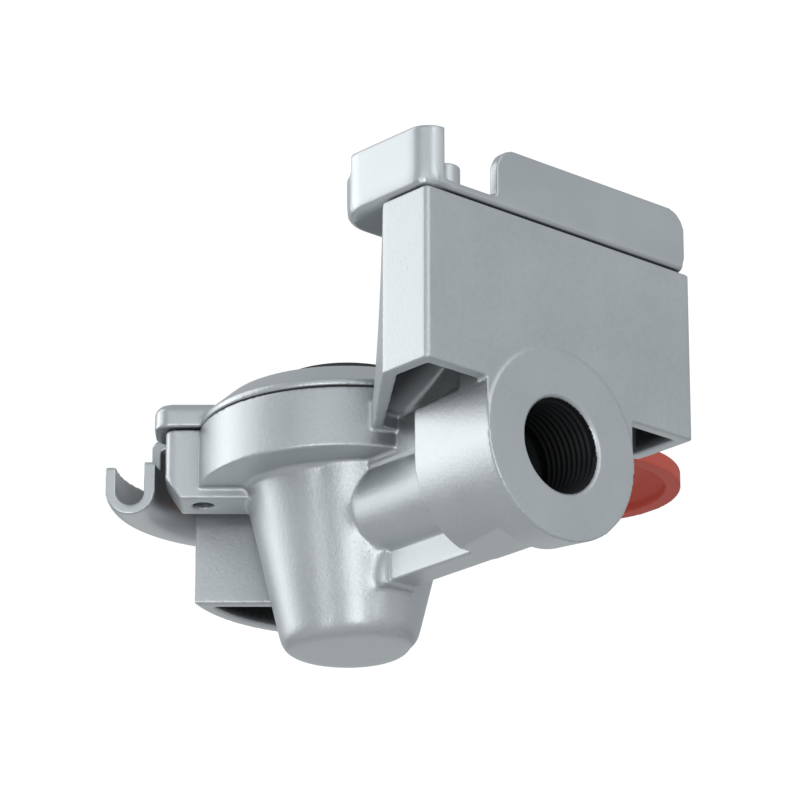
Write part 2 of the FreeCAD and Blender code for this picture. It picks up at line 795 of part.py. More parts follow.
outline(sk, [
    (inner_left, sheet_metal + inner_corner),
    (inner_left + inner_corner, sheet_metal),
    (claw_right + 1, sheet_metal),
    (claw_right + 1, claw_depth + 1),
    (inner_left + claw_rear_end, claw_depth + 1),
    (inner_left + claw_rear_end, inner_rear),
    (inner_left + inner_rear_corner, inner_rear),
    (inner_left, inner_rear - inner_rear_corner),
], {0: (inner_corner, -1), 6: (inner_rear_corner, -1)})
grow(claw, "Pocket", "claw_tray", sk, length=claw_lip_height, back=True)
sk = sketch(claw, "XZ_Plane", "claw_front_cut")
outline(sk, [
    (claw_left + claw_return, claw_top),
    (fin_left, claw_top),
    (fin_left, claw_seat + claw_lip_height + 1),
    (claw_left + claw_return, claw_seat + claw_lip_height + 1),
])
grow(claw, "Pocket", "claw_front_gap", sk, length=sheet_metal * 2, back=False, middle=True)
sk = sketch(claw, "YZ_Plane", "claw_side_cut", lift=claw_left + claw_rear_end + sheet_metal + 1)
rectangle(sk, claw_side_end, claw_seat + claw_rear_lip_height, claw_depth + 1, claw_seat + claw_lip_height + 1)
grow(claw, "Pocket", "claw_side_step", sk, length=claw_rear_end + sheet_metal + 4)
soften(claw, "Fillet", "fin_corners",
       lambda e, m: near(m.z, claw_seat.value + claw_lip_height.value) and m.x > fin_left.value - 1
       and (near(m.x, fin_left.value) or near(m.x, claw_right.value)),
       fin_corner)
hook = new_body("hook_form", at_head=True)
sk = sketch(hook, "XZ_Plane", "hook_profile", turn=as_size(-90) - hook_half_arc)
rectangle(sk, hook_radius - sheet_metal, claw_seat + sheet_metal / 2, hook_radius, claw_top + hook_height)
grow(hook, "Revolution", "hook_turned", sk, angle=hook_half_arc * 2)
soften(hook, "Fillet", "hook_corners",
       lambda e, m: near(m.z, claw_top.value + hook_height.value)
       and near((m.x ** 2 + m.y ** 2) ** 0.5, hook_radius.value - sheet_metal.value / 2),
       claw_bend)
front = new_body("claw_front_form")
sk = sketch(front, "YZ_Plane", "claw_front_section", lift=claw_left + claw_return + claw_bend)
rectangle(sk, zero, claw_seat, sheet_metal, claw_top)
grow(front, "Pad", "claw_front_pad", sk, length=claw_right - claw_left - claw_return - claw_bend)
soften(front, "Fillet", "claw_front_bend",
       lambda e, m: near(m.z, claw_seat.value) and near(m.y, 0.0),
       claw_front_bend)
claw_solid = fuse("claw_solid", [claw, hook, front])


def sink_form(name, top, x=None, y=None, turn=None, reach=None):
    """Countersunk hole that a screw fills with its running clearance."""
    body = new_body(name, at_head=turn is not None, x=x, y=y)
    sk = body.newObject("Sketcher::SketchObject", name + "_profile")
    sk.AttachmentSupport = (origin_plane(body, "XZ_Plane"), [""])
    sk.MapMode = "FlatFace"
    start = zero
    if reach is not None:
        sk.AttachmentOffset = FreeCAD.Placement(V(0, 0, 0), FreeCAD.Rotation(V(0, 1, 0), turn.value))
        sk.setExpression("AttachmentOffset.Rotation.Angle", turn.text)
        start = reach
    gap = screw_clearance
    outline(sk, [
        (start, top - screw_length - 1),
        (start + screw_radius + gap, top - screw_length - 1),
        (start + screw_radius + gap, top - screw_head_height - gap),
        (start + screw_head_radius + gap, top),
        (start + screw_head_radius + gap, top + 1),
        (start, top + 1),
    ])
    item = body.newObject("PartDesign::Revolution", name + "_turned")
    item.Profile = sk
    item.ReferenceAxis = (sk, ["Edge6"])
    item.Angle = full
    doc.recompute()
    return body


claw_tools = fuse("claw_tools", [
    sink_form("claw_sink_left", claw_top, -claw_screw_x, claw_screw_y),
    sink_form("claw_sink_right", claw_top, claw_screw_x, claw_screw_y),
    hole_form("claw_stud_hole", stud_shank + screw_clearance, claw_seat - 1, sheet_metal + 2, stud_x, stud_y),
])
claw.Label = "claw_form"
claw_plate = cut("claw_plate_cut", claw_solid, claw_tools)
claw_plate.Label = "claw_plate"
nodes.append(claw_plate)

claw_left_screw = screw("claw_screw_left", claw_top, -claw_screw_x, claw_screw_y)
claw_right_screw = screw("claw_screw_right", claw_top, claw_screw_x, claw_screw_y)
nodes.append(claw_left_screw)
nodes.append(claw_right_screw)

stud = new_body("claw_stud", x=stud_x, y=stud_y)
sk = sketch(stud, "XZ_Plane", "stud_profile")
outline(sk, [
    (zero, tower_top - wall),
    (stud_shank, tower_top - wall),
    (stud_shank, claw_top),
    (stud_radius, claw_top),
    (stud_radius, claw_top + stud_height),
    (zero, claw_top + stud_height),
])
grow(stud, "Revolution", "stud_turned", sk)
soften(stud, "Fillet", "stud_edge",
       lambda e, m: near(m.z, claw_top.value + stud_height.value) and (m.x ** 2 + m.y ** 2) ** 0.5 > 1.0,
       screw_clearance * 12)
nodes.append(stud)

# Guide plate: ring
ring = new_body("ring_form", at_head=True)
sk = sketch(ring, "XZ_Plane", "ring_profile")
outline(sk, [
    (flange_radius, ring_seat),
    (flange_radius, ring_seat + ring_edge_height),
    (ring_shoulder_radius, ring_shoulder_top),
    (ring_lip_radius, ring_top),
    (ring_hole_radius, ring_top),
    (ring_hole_radius, ring_top - sheet_metal),
    (ring_lip_radius - 0.8, ring_top - sheet_metal),
    (ring_shoulder_radius - 2, ring_shoulder_top - sheet_metal),
    (flange_radius - 4, ring_seat),
])
grow(ring, "Revolution", "ring_turned", sk)


def plate_lug(name, turn):
    """Lug of the guide plate above a casting lug."""
    body = new_body(name, at_head=True)
    sk = sketch(body, "XY_Plane", name + "_plan", lift=ring_seat, turn=turn)
    rectangle(sk, ring_shoulder_radius + 1, -plate_lug_half, plate_lug_reach, plate_lug_half)
    grow(body, "Pad", name + "_pad", sk, length=plate_lug_top - ring_seat)
    corner = (plate_lug_reach.value ** 2 + plate_lug_half.value ** 2) ** 0.5
    soften(body, "Fillet", name + "_corners",
           lambda e, m: upright(e) and near((m.x ** 2 + m.y ** 2) ** 0.5, corner),
           plate_lug_round)
    middle_reach = ring_shoulder_radius.value + 1.5
    soften(body, "Fillet", name + "_edge",
           lambda e, m: near(m.z, plate_lug_top.value) and (m.x ** 2 + m.y ** 2) ** 0.5 > middle_reach,
           plate_lug_edge)
    return body


plate_lug_left = plate_lug("plate_lug_left", lug_turn)
plate_lug_right = plate_lug("plate_lug_right", lug_turn - 180)

pivot_lug = new_body("pivot_lug_form", at_head=True)
sk = sketch(pivot_lug, "XY_Plane", "pivot_lug_plan", lift=ring_seat, turn=cover_turn)
rectangle(sk, flange_radius - 3, -pivot_lug_radius, cover_pivot_radius, pivot_lug_radius)
grow(pivot_lug, "Pad", "pivot_lug_arm", sk, length=pivot_lug_thickness)
sk = sketch(pivot_lug, "XY_Plane", "pivot_lug_end_plan", lift=ring_seat, turn=cover_turn)
circle(sk, cover_pivot_radius, zero, pivot_lug_radius)
grow(pivot_lug, "Pad", "pivot_lug_end", sk, length=pivot_lug_thickness)

# Guide plate: curled rim, a channel open upwards that climbs as a ramp round the head axis
rim = new_body("rim_form", at_head=True)
rim_curl = (rim_outer_radius - rim_inner_radius) / 2
rim_waist = rim_bottom + rim_curl
sk = sketch(rim, "XZ_Plane", "rim_profile", turn=lug_turn)
outline(sk, [
    (rim_inner_radius, rim_inner_top),
    (rim_inner_radius, rim_waist),
    (rim_outer_radius, rim_waist),
    (rim_outer_radius, rim_outer_top),
    (rim_outer_radius - sheet_metal, rim_outer_top),
    (rim_outer_radius - sheet_metal, rim_waist),
    (rim_inner_radius + sheet_metal, rim_waist),
    (rim_inner_radius + sheet_metal, rim_inner_top),
], {1: (rim_curl * 1.002, -1), 5: ((rim_curl - sheet_metal) * 1.002, 1)})
ramp = rim.newObject("PartDesign::AdditiveHelix", "rim_ramp")
ramp.Profile = sk
ramp.ReferenceAxis = (sk, ["V_Axis"])
ramp.Mode = "height-turns-angle"
ramp.setExpression("Height", rim_rise.text)
ramp.setExpression("Turns", (rim_arc / 360).text)
ramp.Angle = 0
ramp.LeftHanded = True
ramp.Reversed = False
sk.Visibility = False
doc.recompute()

# Guide plate: wall and web that carry the rim from the ring
join = new_body("join_form", at_head=True)
sk = sketch(join, "XZ_Plane", "join_profile", turn=rim_join_start)
outline(sk, [
    (flange_radius - 3, ring_seat),
    (rim_inner_radius, ring_seat),
    (rim_inner_radius, rim_join_bottom),
    (rim_inner_radius + sheet_metal, rim_join_bottom),
    (rim_inner_radius + sheet_metal, ring_seat + sheet_metal),
    (flange_radius - 3, ring_seat + sheet_metal),
])
grow(join, "Revolution", "join_turned", sk, angle=rim_join_arc, back=True)
soften(join, "Fillet", "join_bend",
       lambda e, m: near(m.z, ring_seat.value + sheet_metal.value)
       and near((m.x ** 2 + m.y ** 2) ** 0.5, rim_inner_radius.value + sheet_metal.value)
       and e.Curve.TypeId == "Part::GeomCircle",
       sheet_metal - 0.4)

plate_solid = fuse("plate_solid", [ring, plate_lug_left, plate_lug_right, pivot_lug, rim, join])
pin_hole = pin_radius + pin_clearance
plate_tools = fuse("plate_tools", [
    sink_form("guide_sink_left", plate_lug_top, turn=lug_turn, reach=guide_screw_reach),
    sink_form("guide_sink_right", plate_lug_top, turn=lug_turn - 180, reach=guide_screw_reach),
    hole_form("pivot_hole", pin_hole, ring_seat - 1, pivot_lug_thickness + 2,
              turn=cover_turn, reach=cover_pivot_radius),
])
guide_plate = cut("guide_plate", plate_solid, plate_tools)
nodes.append(guide_plate)

nodes.append(screw("guide_screw_left", plate_lug_top, turn=lug_turn, reach=guide_screw_reach))
nodes.append(screw("guide_screw_right", plate_lug_top, turn=lug_turn - 180, reach=guide_screw_reach))


def turned(name, points, arcs=None):
    """Piece turned about the head axis."""
    body = new_body(name, at_head=True)
    sk = sketch(body, "XZ_Plane", name + "_profile")
    outline(sk, points, arcs)
    grow(body, "Revolution", name + "_turned", sk)
    return body


gasket = turned("flange_gasket", [
    (flange_radius - 3.6, flange_top),
    (flange_radius - 0.6, flange_top),
    (flange_radius - 0.6, ring_seat),
    (flange_radius - 3.6, ring_seat),
])
nodes.append(gasket)

# Filter cartridge, seal support and seal
seat_floor = flange_top - seat_depth
collar_top = seat_floor + collar_thickness
support_top = collar_top + support_height
collar_outer = seat_radius - fit_gap
collar = turned("filter_collar", [
    (collar_hole_radius, seat_floor),
    (sieve_radius + fit_gap, seat_floor),
    (sieve_radius + fit_gap, seat_floor - collar_sleeve),
    (sieve_radius + fit_gap + 1.5, seat_floor - collar_sleeve),
    (sieve_radius + fit_gap + 1.5, seat_floor),
    (collar_outer, seat_floor),
    (collar_outer, collar_top),
    (collar_hole_radius, collar_top),
])
nodes.append(collar)
sieve_base = seat_floor - sieve_length
sieve = turned("filter_sieve", [
    (sieve_radius - sieve_wall, sieve_base),
    (sieve_radius, sieve_base),
    (sieve_radius, seat_floor),
    (sieve_radius - sieve_wall, seat_floor),
])
nodes.append(sieve)
cap_base = sieve_base - cap_thickness
cap = turned("filter_cap", [
    (zero, cap_base - cap_spigot_length),
    (cap_spigot_radius, cap_base - cap_spigot_length),
    (cap_spigot_radius, cap_base),
    (sieve_radius + fit_gap + 1, cap_base),
    (sieve_radius + fit_gap + 1, sieve_base + cap_rim),
    (sieve_radius + fit_gap, sieve_base + cap_rim),
    (sieve_radius + fit_gap, sieve_base),
    (zero, sieve_base),
])
nodes.append(cap)

support = turned("seal_support", [
    (seal_hole_radius, collar_top),
    (collar_outer, collar_top),
    (collar_outer, support_top),
    (seal_hole_radius, support_top),
])
nodes.append(support)
seal = turned("seal_ring", [
    (seal_hole_radius, support_top),
    (seal_foot_radius, support_top),
    (seal_foot_radius, support_top + seal_foot_height),
    (seal_radius, support_top + seal_foot_height),
    (seal_radius, seal_top - seal_round),
    (seal_radius - seal_round, seal_top),
    (seal_hole_radius + seal_round, seal_top),
    (seal_hole_radius, seal_top - seal_round),
])
nodes.append(seal)

# Cover: dished cap, arm and hub, shown swung open; its rim passes just over the seal
cover_rim_bottom = seal_top + cover_swing_gap
cover_top = cover_rim_bottom + cover_height
hub_top = cover_rim_bottom + arm_height
cover = new_body("cover_form", at_head=True)
cover_reach = cover_pivot_radius * 2
sk = sketch(cover, "XZ_Plane", "cover_profile", turn=cover_turn)
cover_inner = cover_radius - cover_rim_width
cover_ceiling = cover_top - cover_skin
cover_dome_drop = cover_height - cover_side_height
outline(sk, [
    (cover_reach, cover_ceiling),
    (cover_reach + cover_inner - 2.4, cover_ceiling - 1.6),
    (cover_reach + cover_inner, cover_ceiling - 3.2),
    (cover_reach + cover_inner, cover_rim_bottom),
    (cover_reach + cover_radius, cover_rim_bottom),
    (cover_reach + cover_radius, cover_rim_bottom + cover_side_height),
    (cover_reach + cover_radius * 0.66, cover_top - cover_dome_drop * 0.42),
    (cover_reach + cover_radius * 0.3, cover_top - cover_dome_drop * 0.08),
    (cover_reach, cover_top),
])
cover_turned = cover.newObject("PartDesign::Revolution", "cover_turned")
cover_turned.Profile = sk
cover_turned.ReferenceAxis = (sk, ["Edge9"])
cover_turned.Angle = full
doc.recompute()

arm = new_body("arm_form", at_head=True)
sk = sketch(arm, "XY_Plane", "arm_plan", lift=cover_rim_bottom, turn=cover_turn)
rectangle(sk, cover_pivot_radius, -arm_half_width, cover_reach - cover_inner - 1, arm_half_width)
grow(arm, "Pad", "arm_pad", sk, length=arm_height)
hub_base = ring_seat + pivot_lug_thickness + washer_thickness + hub_gap
sk = sketch(arm, "XY_Plane", "hub_plan", lift=hub_base, turn=cover_turn)
circle(sk, cover_pivot_radius, zero, hub_radius)
grow(arm, "Pad", "hub_pad", sk, length=hub_top - hub_base)
cover_solid = fuse("cover_solid", [cover, arm])
hub_hole = hole_form("hub_hole", pin_hole, hub_base - 1, hub_top - hub_base + 2,
                     turn=cover_turn, reach=cover_pivot_radius)
dust_cover = cut("dust_cover", cover_solid, hub_hole)
nodes.append(dust_cover)

# Pivot pin with its head, washer and clip
pin = new_body("cover_pin", at_head=True)
sk = sketch(pin, "XY_Plane", "pin_plan", lift=ring_seat - clip_thickness - pin_tail, turn=cover_turn)
circle(sk, cover_pivot_radius, zero, pin_radius)
pin_length = hub_top + hub_gap - (ring_seat - clip_thickness - pin_tail)
grow(pin, "Pad", "pin_shaft", sk, length=pin_length)
sk = sketch(pin, "XY_Plane", "pin_head_plan", lift=hub_top + hub_gap, turn=cover_turn)
circle(sk, cover_pivot_radius, zero, pin_head_radius)
grow(pin, "Pad", "pin_head", sk, length=pin_head_height)
soften(pin, "Chamfer", "pin_head_edge",
       lambda e, m: near(m.z, hub_top.value + hub_gap.value + pin_head_height.value),
       pin_head_height * 0.4)
nodes.append(pin)

washer = new_body("cover_washer", at_head=True)
sk = sketch(washer, "XY_Plane", "washer_plan", lift=ring_seat + pivot_lug_thickness, turn=cover_turn)
circle(sk, cover_pivot_radius, zero, washer_radius)
circle(sk, cover_pivot_radius, zero, pin_hole)
grow(washer, "Pad", "washer_pad", sk, length=washer_thickness)
nodes.append(washer)

clip = new_body("cover_clip", at_head=True)
sk = sketch(clip, "XY_Plane", "clip_plan", lift=ring_seat - clip_thickness, turn=cover_turn)
circle(sk, cover_pivot_radius, zero, clip_radius)
circle(sk, cover_pivot_radius, zero, pin_hole)
grow(clip, "Pad", "clip_pad", sk, length=clip_thickness)
sk = sketch(clip, "XY_Plane", "clip_mouth_plan", lift=ring_seat - clip_thickness - 1, turn=cover_turn)
rectangle(sk, cover_pivot_radius, -clip_mouth, cover_pivot_radius + clip_radius + 1, clip_mouth)
grow(clip, "Pocket", "clip_mouth_cut", sk, length=clip_thickness + 3, back=True)
nodes.append(clip)

doc.recompute()

# Every object is checked before anything is written
for item in doc.Objects:
    if "Invalid" in item.State or "Error" in item.State:
        raise RuntimeError(item.Name + " failed: " + str(item.State))
for item in nodes:
    shape = item.Shape
    if shape.isNull() or not shape.isValid() or len(shape.Solids) != 1:
        raise RuntimeError(item.Label + " is not one valid solid: " + str(len(shape.Solids)))

os.makedirs("parts", exist_ok=True)
for item in nodes:
    item.Shape.exportStep("parts/" + item.Label + ".step")
    box = item.Shape.BoundBox
    print(item.Label, round(item.Shape.Volume, 1),
          [round(v, 1) for v in (box.XMin, box.YMin, box.ZMin, box.XMax, box.YMax, box.ZMax)])
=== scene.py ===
"""Looks of an air brake coupling head with a filter bowl and a swinging dust cover.

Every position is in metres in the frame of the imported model, unless a name or a comment says
millimetres: the origin is the centre of the port's mouth, +Y runs into the head and +Z towards
the mating seal.
"""

import logging
import math
from collections.abc import Callable, Iterable
from dataclasses import dataclass, field
from enum import Enum

import bpy
import numpy as np
from mathutils import Matrix, Vector

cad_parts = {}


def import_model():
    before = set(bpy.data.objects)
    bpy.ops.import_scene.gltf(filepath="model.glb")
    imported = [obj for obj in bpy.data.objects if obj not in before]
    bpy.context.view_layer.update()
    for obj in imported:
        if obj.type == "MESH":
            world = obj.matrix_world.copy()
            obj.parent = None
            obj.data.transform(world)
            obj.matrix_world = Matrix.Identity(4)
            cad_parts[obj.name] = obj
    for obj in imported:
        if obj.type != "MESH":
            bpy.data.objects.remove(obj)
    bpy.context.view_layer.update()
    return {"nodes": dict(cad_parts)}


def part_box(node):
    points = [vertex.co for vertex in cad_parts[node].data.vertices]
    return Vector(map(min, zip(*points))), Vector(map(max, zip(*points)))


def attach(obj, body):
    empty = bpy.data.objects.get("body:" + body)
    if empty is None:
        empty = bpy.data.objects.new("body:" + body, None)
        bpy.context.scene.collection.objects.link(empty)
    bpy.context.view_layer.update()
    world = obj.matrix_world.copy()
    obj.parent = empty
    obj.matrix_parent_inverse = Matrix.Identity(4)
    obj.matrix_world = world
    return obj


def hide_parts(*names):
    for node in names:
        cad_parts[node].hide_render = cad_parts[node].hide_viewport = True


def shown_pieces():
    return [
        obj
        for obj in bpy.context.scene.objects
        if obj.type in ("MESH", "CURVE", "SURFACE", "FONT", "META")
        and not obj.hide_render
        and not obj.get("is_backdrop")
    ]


LOG = logging.getLogger("coupling_head")
MM = 0.001
Triple = tuple[float, float, float]
Span = tuple[float, float]


class Slot(Enum):
    """Material slots of the record."""

    CASTING = "casting"
    PRESSED = "pressed_steel"
    ZINC = "zinc_steel"
    RUBBER = "black_rubber"
    BLACK = "black_plastic"
    MESH = "brass_mesh"
    RED = "red_plastic"


class Body(Enum):
    """Moving bodies of the record."""

    HEAD = "head"
    COVER = "cover"


class Texture(Enum):
    """Surface effects that the finishes share."""

    CAST = "cast_grain"
    ROLLED = "rolled_grain"
    MOULDED = "moulded_grain"


# Shader helpers


def new_group(name: str, inputs: dict[str, float], outputs: Iterable[str]) -> bpy.types.NodeTree:
    """Starts a shader node group with float inputs and float outputs.

    Args:
        name: Name of the group.
        inputs: Input names with their default values.
        outputs: Output names.

    Returns:
        The new node tree, with its group input and output nodes named "in" and "out".
    """
    tree = bpy.data.node_groups.new(name, "ShaderNodeTree")
    for label, value in inputs.items():
        socket = tree.interface.new_socket(label, in_out="INPUT", socket_type="NodeSocketFloat")
        socket.default_value = value
    for label in outputs:
        tree.interface.new_socket(label, in_out="OUTPUT", socket_type="NodeSocketFloat")
    tree.nodes.new("NodeGroupInput").name = "in"
    tree.nodes.new("NodeGroupOutput").name = "out"
    return tree


def add_node(tree: bpy.types.NodeTree, kind: str, **values: object) -> bpy.types.Node:
    """Adds a shader node and sets its plain properties.

    Args:
        tree: Node tree to add to.
        kind: Node type without the "ShaderNode" prefix.
        values: Properties of the node by name.

    Returns:
        The new node.
    """
    node = tree.nodes.new("ShaderNode" + kind)
    for key, value in values.items():
        setattr(node, key, value)
    return node


def feed(tree: bpy.types.NodeTree, item: object, socket: bpy.types.NodeSocket) -> None:
    """Links a socket to an input, or sets the input to a number."""
    if isinstance(item, bpy.types.NodeSocket):
        tree.links.new(item, socket)
    else:
        socket.default_value = float(item)


def calc(tree: bpy.types.NodeTree, operation: str, a: object, b: object) -> bpy.types.NodeSocket:
    """Adds a math node over sockets or numbers.

    Args:
        tree: Node tree to add to.
        operation: Name of the math operation.
        a: First socket or number.
        b: Second socket or number.

    Returns:
        The node's output socket.
    """
    node = add_node(tree, "Math", operation=operation)
    feed(tree, a, node.inputs[0])
    feed(tree, b, node.inputs[1])
    return node.outputs[0]


def noise(tree: bpy.types.NodeTree, vector: bpy.types.NodeSocket, scale: object, detail: float,
          rough: float = 0.5) -> bpy.types.NodeSocket:
    """Adds a noise texture on a vector and returns its value socket."""
    node = add_node(tree, "TexNoise", noise_dimensions="3D")
    tree.links.new(vector, node.inputs["Vector"])
    feed(tree, scale, node.inputs["Scale"])
    node.inputs["Detail"].default_value = detail
    node.inputs["Roughness"].default_value = rough
    return node.outputs["Fac"]


def map_range(tree: bpy.types.NodeTree, value: bpy.types.NodeSocket, source: Span, target: Span,
              kind: str = "LINEAR") -> bpy.types.NodeSocket:
    """Adds a node that maps one span to another.

    Args:
        tree: Node tree to add to.
        value: Socket with the value to map.
        source: Span that the value comes from.
        target: Span that it is mapped to.
        kind: Interpolation of the node.

    Returns:
        The node's output socket.
    """
    node = add_node(tree, "MapRange", interpolation_type=kind)
    tree.links.new(value, node.inputs["Value"])
    labels = ("From Min", "From Max", "To Min", "To Max")
    for label, number in zip(labels, (*source, *target)):
        node.inputs[label].default_value = number
    return node.outputs["Result"]


def build_cast_grain() -> None:
    """Builds the grain of a blasted casting: fine pits, soft mottling and a height."""
    tree = new_group(Texture.CAST.value, {"Scale": 1400.0, "Pits": 0.3}, ("Tone", "Height"))
    source, out = tree.nodes["in"], tree.nodes["out"]
    fine_share, broad_share, pit_share = 0.55, 0.45, 0.5
    place = add_node(tree, "TexCoord").outputs["Object"]
    fine = noise(tree, place, source.outputs["Scale"], detail=3.0, rough=0.6)
    broad = noise(tree, place, scale=60.0, detail=2.0)
    cells = add_node(tree, "TexVoronoi", feature="F1")
    tree.links.new(place, cells.inputs["Vector"])
    cells.inputs["Scale"].default_value = 700.0
    pit = map_range(tree, cells.outputs["Distance"], (0.06, 0.22), (1.0, 0.0), "SMOOTHSTEP")
    patches = noise(tree, place, scale=220.0, detail=1.0)
    patch_level = 0.62
    chosen = calc(tree, "GREATER_THAN", patches, patch_level)
    pits = calc(tree, "MULTIPLY", calc(tree, "MULTIPLY", pit, chosen), source.outputs["Pits"])
    tone = calc(tree, "ADD", calc(tree, "MULTIPLY", fine, fine_share),
                calc(tree, "MULTIPLY", broad, broad_share))
    tone = calc(tree, "SUBTRACT", tone, calc(tree, "MULTIPLY", pits, pit_share))
    tree.links.new(tone, out.inputs["Tone"])
    tree.links.new(calc(tree, "SUBTRACT", fine, pits), out.inputs["Height"])


def build_rolled_grain() -> None:
    """Builds the grain of pressed sheet: faint lines along X and a fine satin."""
    tree = new_group(Texture.ROLLED.value, {"Scale": 1200.0, "Lines": 0.4}, ("Tone", "Height"))
    source, out = tree.nodes["in"], tree.nodes["out"]
    line_share, broad_share, fine_share = 0.5, 0.6, 0.5
    place = add_node(tree, "TexCoord").outputs["Object"]
    stretch = add_node(tree, "Mapping")
    tree.links.new(place, stretch.inputs["Vector"])
    stretch.inputs["Scale"].default_value = (0.08, 1.0, 1.0)
    lines = noise(tree, stretch.outputs["Vector"], source.outputs["Scale"], detail=3.0, rough=0.6)
    fine = noise(tree, place, scale=1500.0, detail=2.0)
    broad = noise(tree, place, scale=45.0, detail=2.0)
    streak = calc(tree, "MULTIPLY", lines, source.outputs["Lines"])
    tone = calc(tree, "ADD", calc(tree, "MULTIPLY", streak, line_share),
                calc(tree, "MULTIPLY", broad, broad_share))
    height = calc(tree, "ADD", streak, calc(tree, "MULTIPLY", fine, fine_share))
    tree.links.new(tone, out.inputs["Tone"])
    tree.links.new(height, out.inputs["Height"])


def build_moulded_grain() -> None:
    """Builds the grain of moulded plastic or rubber: an even spark-eroded skin."""
    tree = new_group(Texture.MOULDED.value, {"Scale": 1800.0, "Flow": 0.3}, ("Tone", "Height"))
    source, out = tree.nodes["in"], tree.nodes["out"]
    fine_share = 0.4
    place = add_node(tree, "TexCoord").outputs["Object"]
    fine = noise(tree, place, source.outputs["Scale"], detail=2.0)
    broad = noise(tree, place, scale=35.0, detail=3.0)
    flow = calc(tree, "MULTIPLY", broad, source.outputs["Flow"])
    tone = calc(tree, "ADD", flow, calc(tree, "MULTIPLY", fine, fine_share))
    tree.links.new(tone, out.inputs["Tone"])
    tree.links.new(fine, out.inputs["Height"])


TONE_SPAN: Span = (0.3, 0.7)  # Tones between which a finish turns from dark to light
CORNER_SHADE_REACH = 0.016  # How far the painted corner shade looks for other faces, in metres
CORNER_SHADE_SPAN: Span = (0.15, 0.85)  # Openness between which the painted corner shade fades out
CORNER_SHADE_SAMPLES = 8


@dataclass(frozen=True)
class Finish:
    """One surface finish, from which its material is made.

    Attributes:
        name: Name of the material.
        slot: Slot of the record that it dresses; not used.
        texture: Shared surface effect.
        dark: Base colour where the tone is low.
        light: Base colour where the tone is high.
        metallic: Metallic share.
        rough: Roughness where the tone is low and where it is high.
        depth: Depth of the bump, in metres.
        scale: Scale of the shared effect.
        share: Second input of the shared effect.
        specular: Specular level.
        painted_shade: Colour of the painted shade that the piece's own attribute mixes in, if
            any.
        corner: Share of the colour that the painted corner shade leaves in tight corners, or 1.0
            for no painted shade.
    """

    name: str
    slot: Slot
    texture: Texture
    dark: Triple
    light: Triple
    metallic: float
    rough: Span
    depth: float
    scale: float
    share: float
    specular: float = 0.5
    painted_shade: Triple | None = None
    corner: float = 1.0

    def material(self) -> bpy.types.Material:
        """Returns the finish's material, made on its first use."""
        if self.name in bpy.data.materials:
            return bpy.data.materials[self.name]
        material = bpy.data.materials.new(self.name)
        material.use_nodes = True
        tree = material.node_tree
        shader = tree.nodes["Principled BSDF"]
        grain = tree.nodes.new("ShaderNodeGroup")
        grain.node_tree = bpy.data.node_groups[self.texture.value]
        grain.inputs[0].default_value = self.scale
        grain.inputs[1].default_value = self.share
        tone = grain.outputs["Tone"]
        colour = self.base_tone(tree, tone)
        # Painted shade: a darker colour mixed in where the piece's own attribute says so.
        if self.painted_shade:
            colour = self.mix_painted_shade(tree, colour)
        # Painted shade: the colour darkens in tight inner corners.
        if self.corner < 1.0:
            colour = self.painted_corner_shade(tree, colour)
        tree.links.new(colour, shader.inputs["Base Color"])
        tree.links.new(map_range(tree, tone, TONE_SPAN, self.rough), shader.inputs["Roughness"])
        bump = add_node(tree, "Bump")
        bump.inputs["Strength"].default_value = 1.0
        bump.inputs["Distance"].default_value = self.depth
        tree.links.new(grain.outputs["Height"], bump.inputs["Height"])
        tree.links.new(bump.outputs["Normal"], shader.inputs["Normal"])
        shader.inputs["Metallic"].default_value = self.metallic
        shader.inputs["Specular IOR Level"].default_value = self.specular
        return material

    def base_tone(self, tree: bpy.types.NodeTree,
                  tone: bpy.types.NodeSocket) -> bpy.types.NodeSocket:
        """Turns the grain's tone into a colour between dark and light."""
        ramp = add_node(tree, "ValToRGB")
        shades = zip(ramp.color_ramp.elements, TONE_SPAN, (self.dark, self.light))
        for element, position, shade in shades:
            element.position = position
            element.color = (*shade, 1.0)
        tree.links.new(tone, ramp.inputs["Fac"])
        return ramp.outputs["Color"]

    def mix_painted_shade(self, tree: bpy.types.NodeTree,
                    colour: bpy.types.NodeSocket) -> bpy.types.NodeSocket:
        """Mixes the painted shade colour in by the piece's own attribute."""
        shade_weight = add_node(tree, "Attribute", attribute_type="GEOMETRY", attribute_name="painted_shade")
        mix = add_node(tree, "Mix", data_type="RGBA", blend_type="MIX")
        tree.links.new(shade_weight.outputs["Fac"], mix.inputs["Factor"])
        tree.links.new(colour, mix.inputs["A"])
        mix.inputs["B"].default_value = (*self.painted_shade, 1.0)
        return mix.outputs["Result"]

    def painted_corner_shade(self, tree: bpy.types.NodeTree,
                    colour: bpy.types.NodeSocket) -> bpy.types.NodeSocket:
        """Paints shade into the colour in tight inner corners, from the ambient occlusion of
        nearby faces.
        """
        nearby = add_node(tree, "AmbientOcclusion", samples=CORNER_SHADE_SAMPLES)
        nearby.inputs["Distance"].default_value = CORNER_SHADE_REACH
        shade = map_range(tree, nearby.outputs["AO"], CORNER_SHADE_SPAN, (self.corner, 1.0),
                          "SMOOTHSTEP")
        scale = add_node(tree, "VectorMath", operation="SCALE")
        tree.links.new(colour, scale.inputs[0])
        tree.links.new(shade, scale.inputs["Scale"])
        return scale.outputs[0]

    def dress(self, piece: bpy.types.Object) -> None:
        """Gives the piece this material alone."""
        piece.data.materials.clear()
        piece.data.materials.append(self.material())
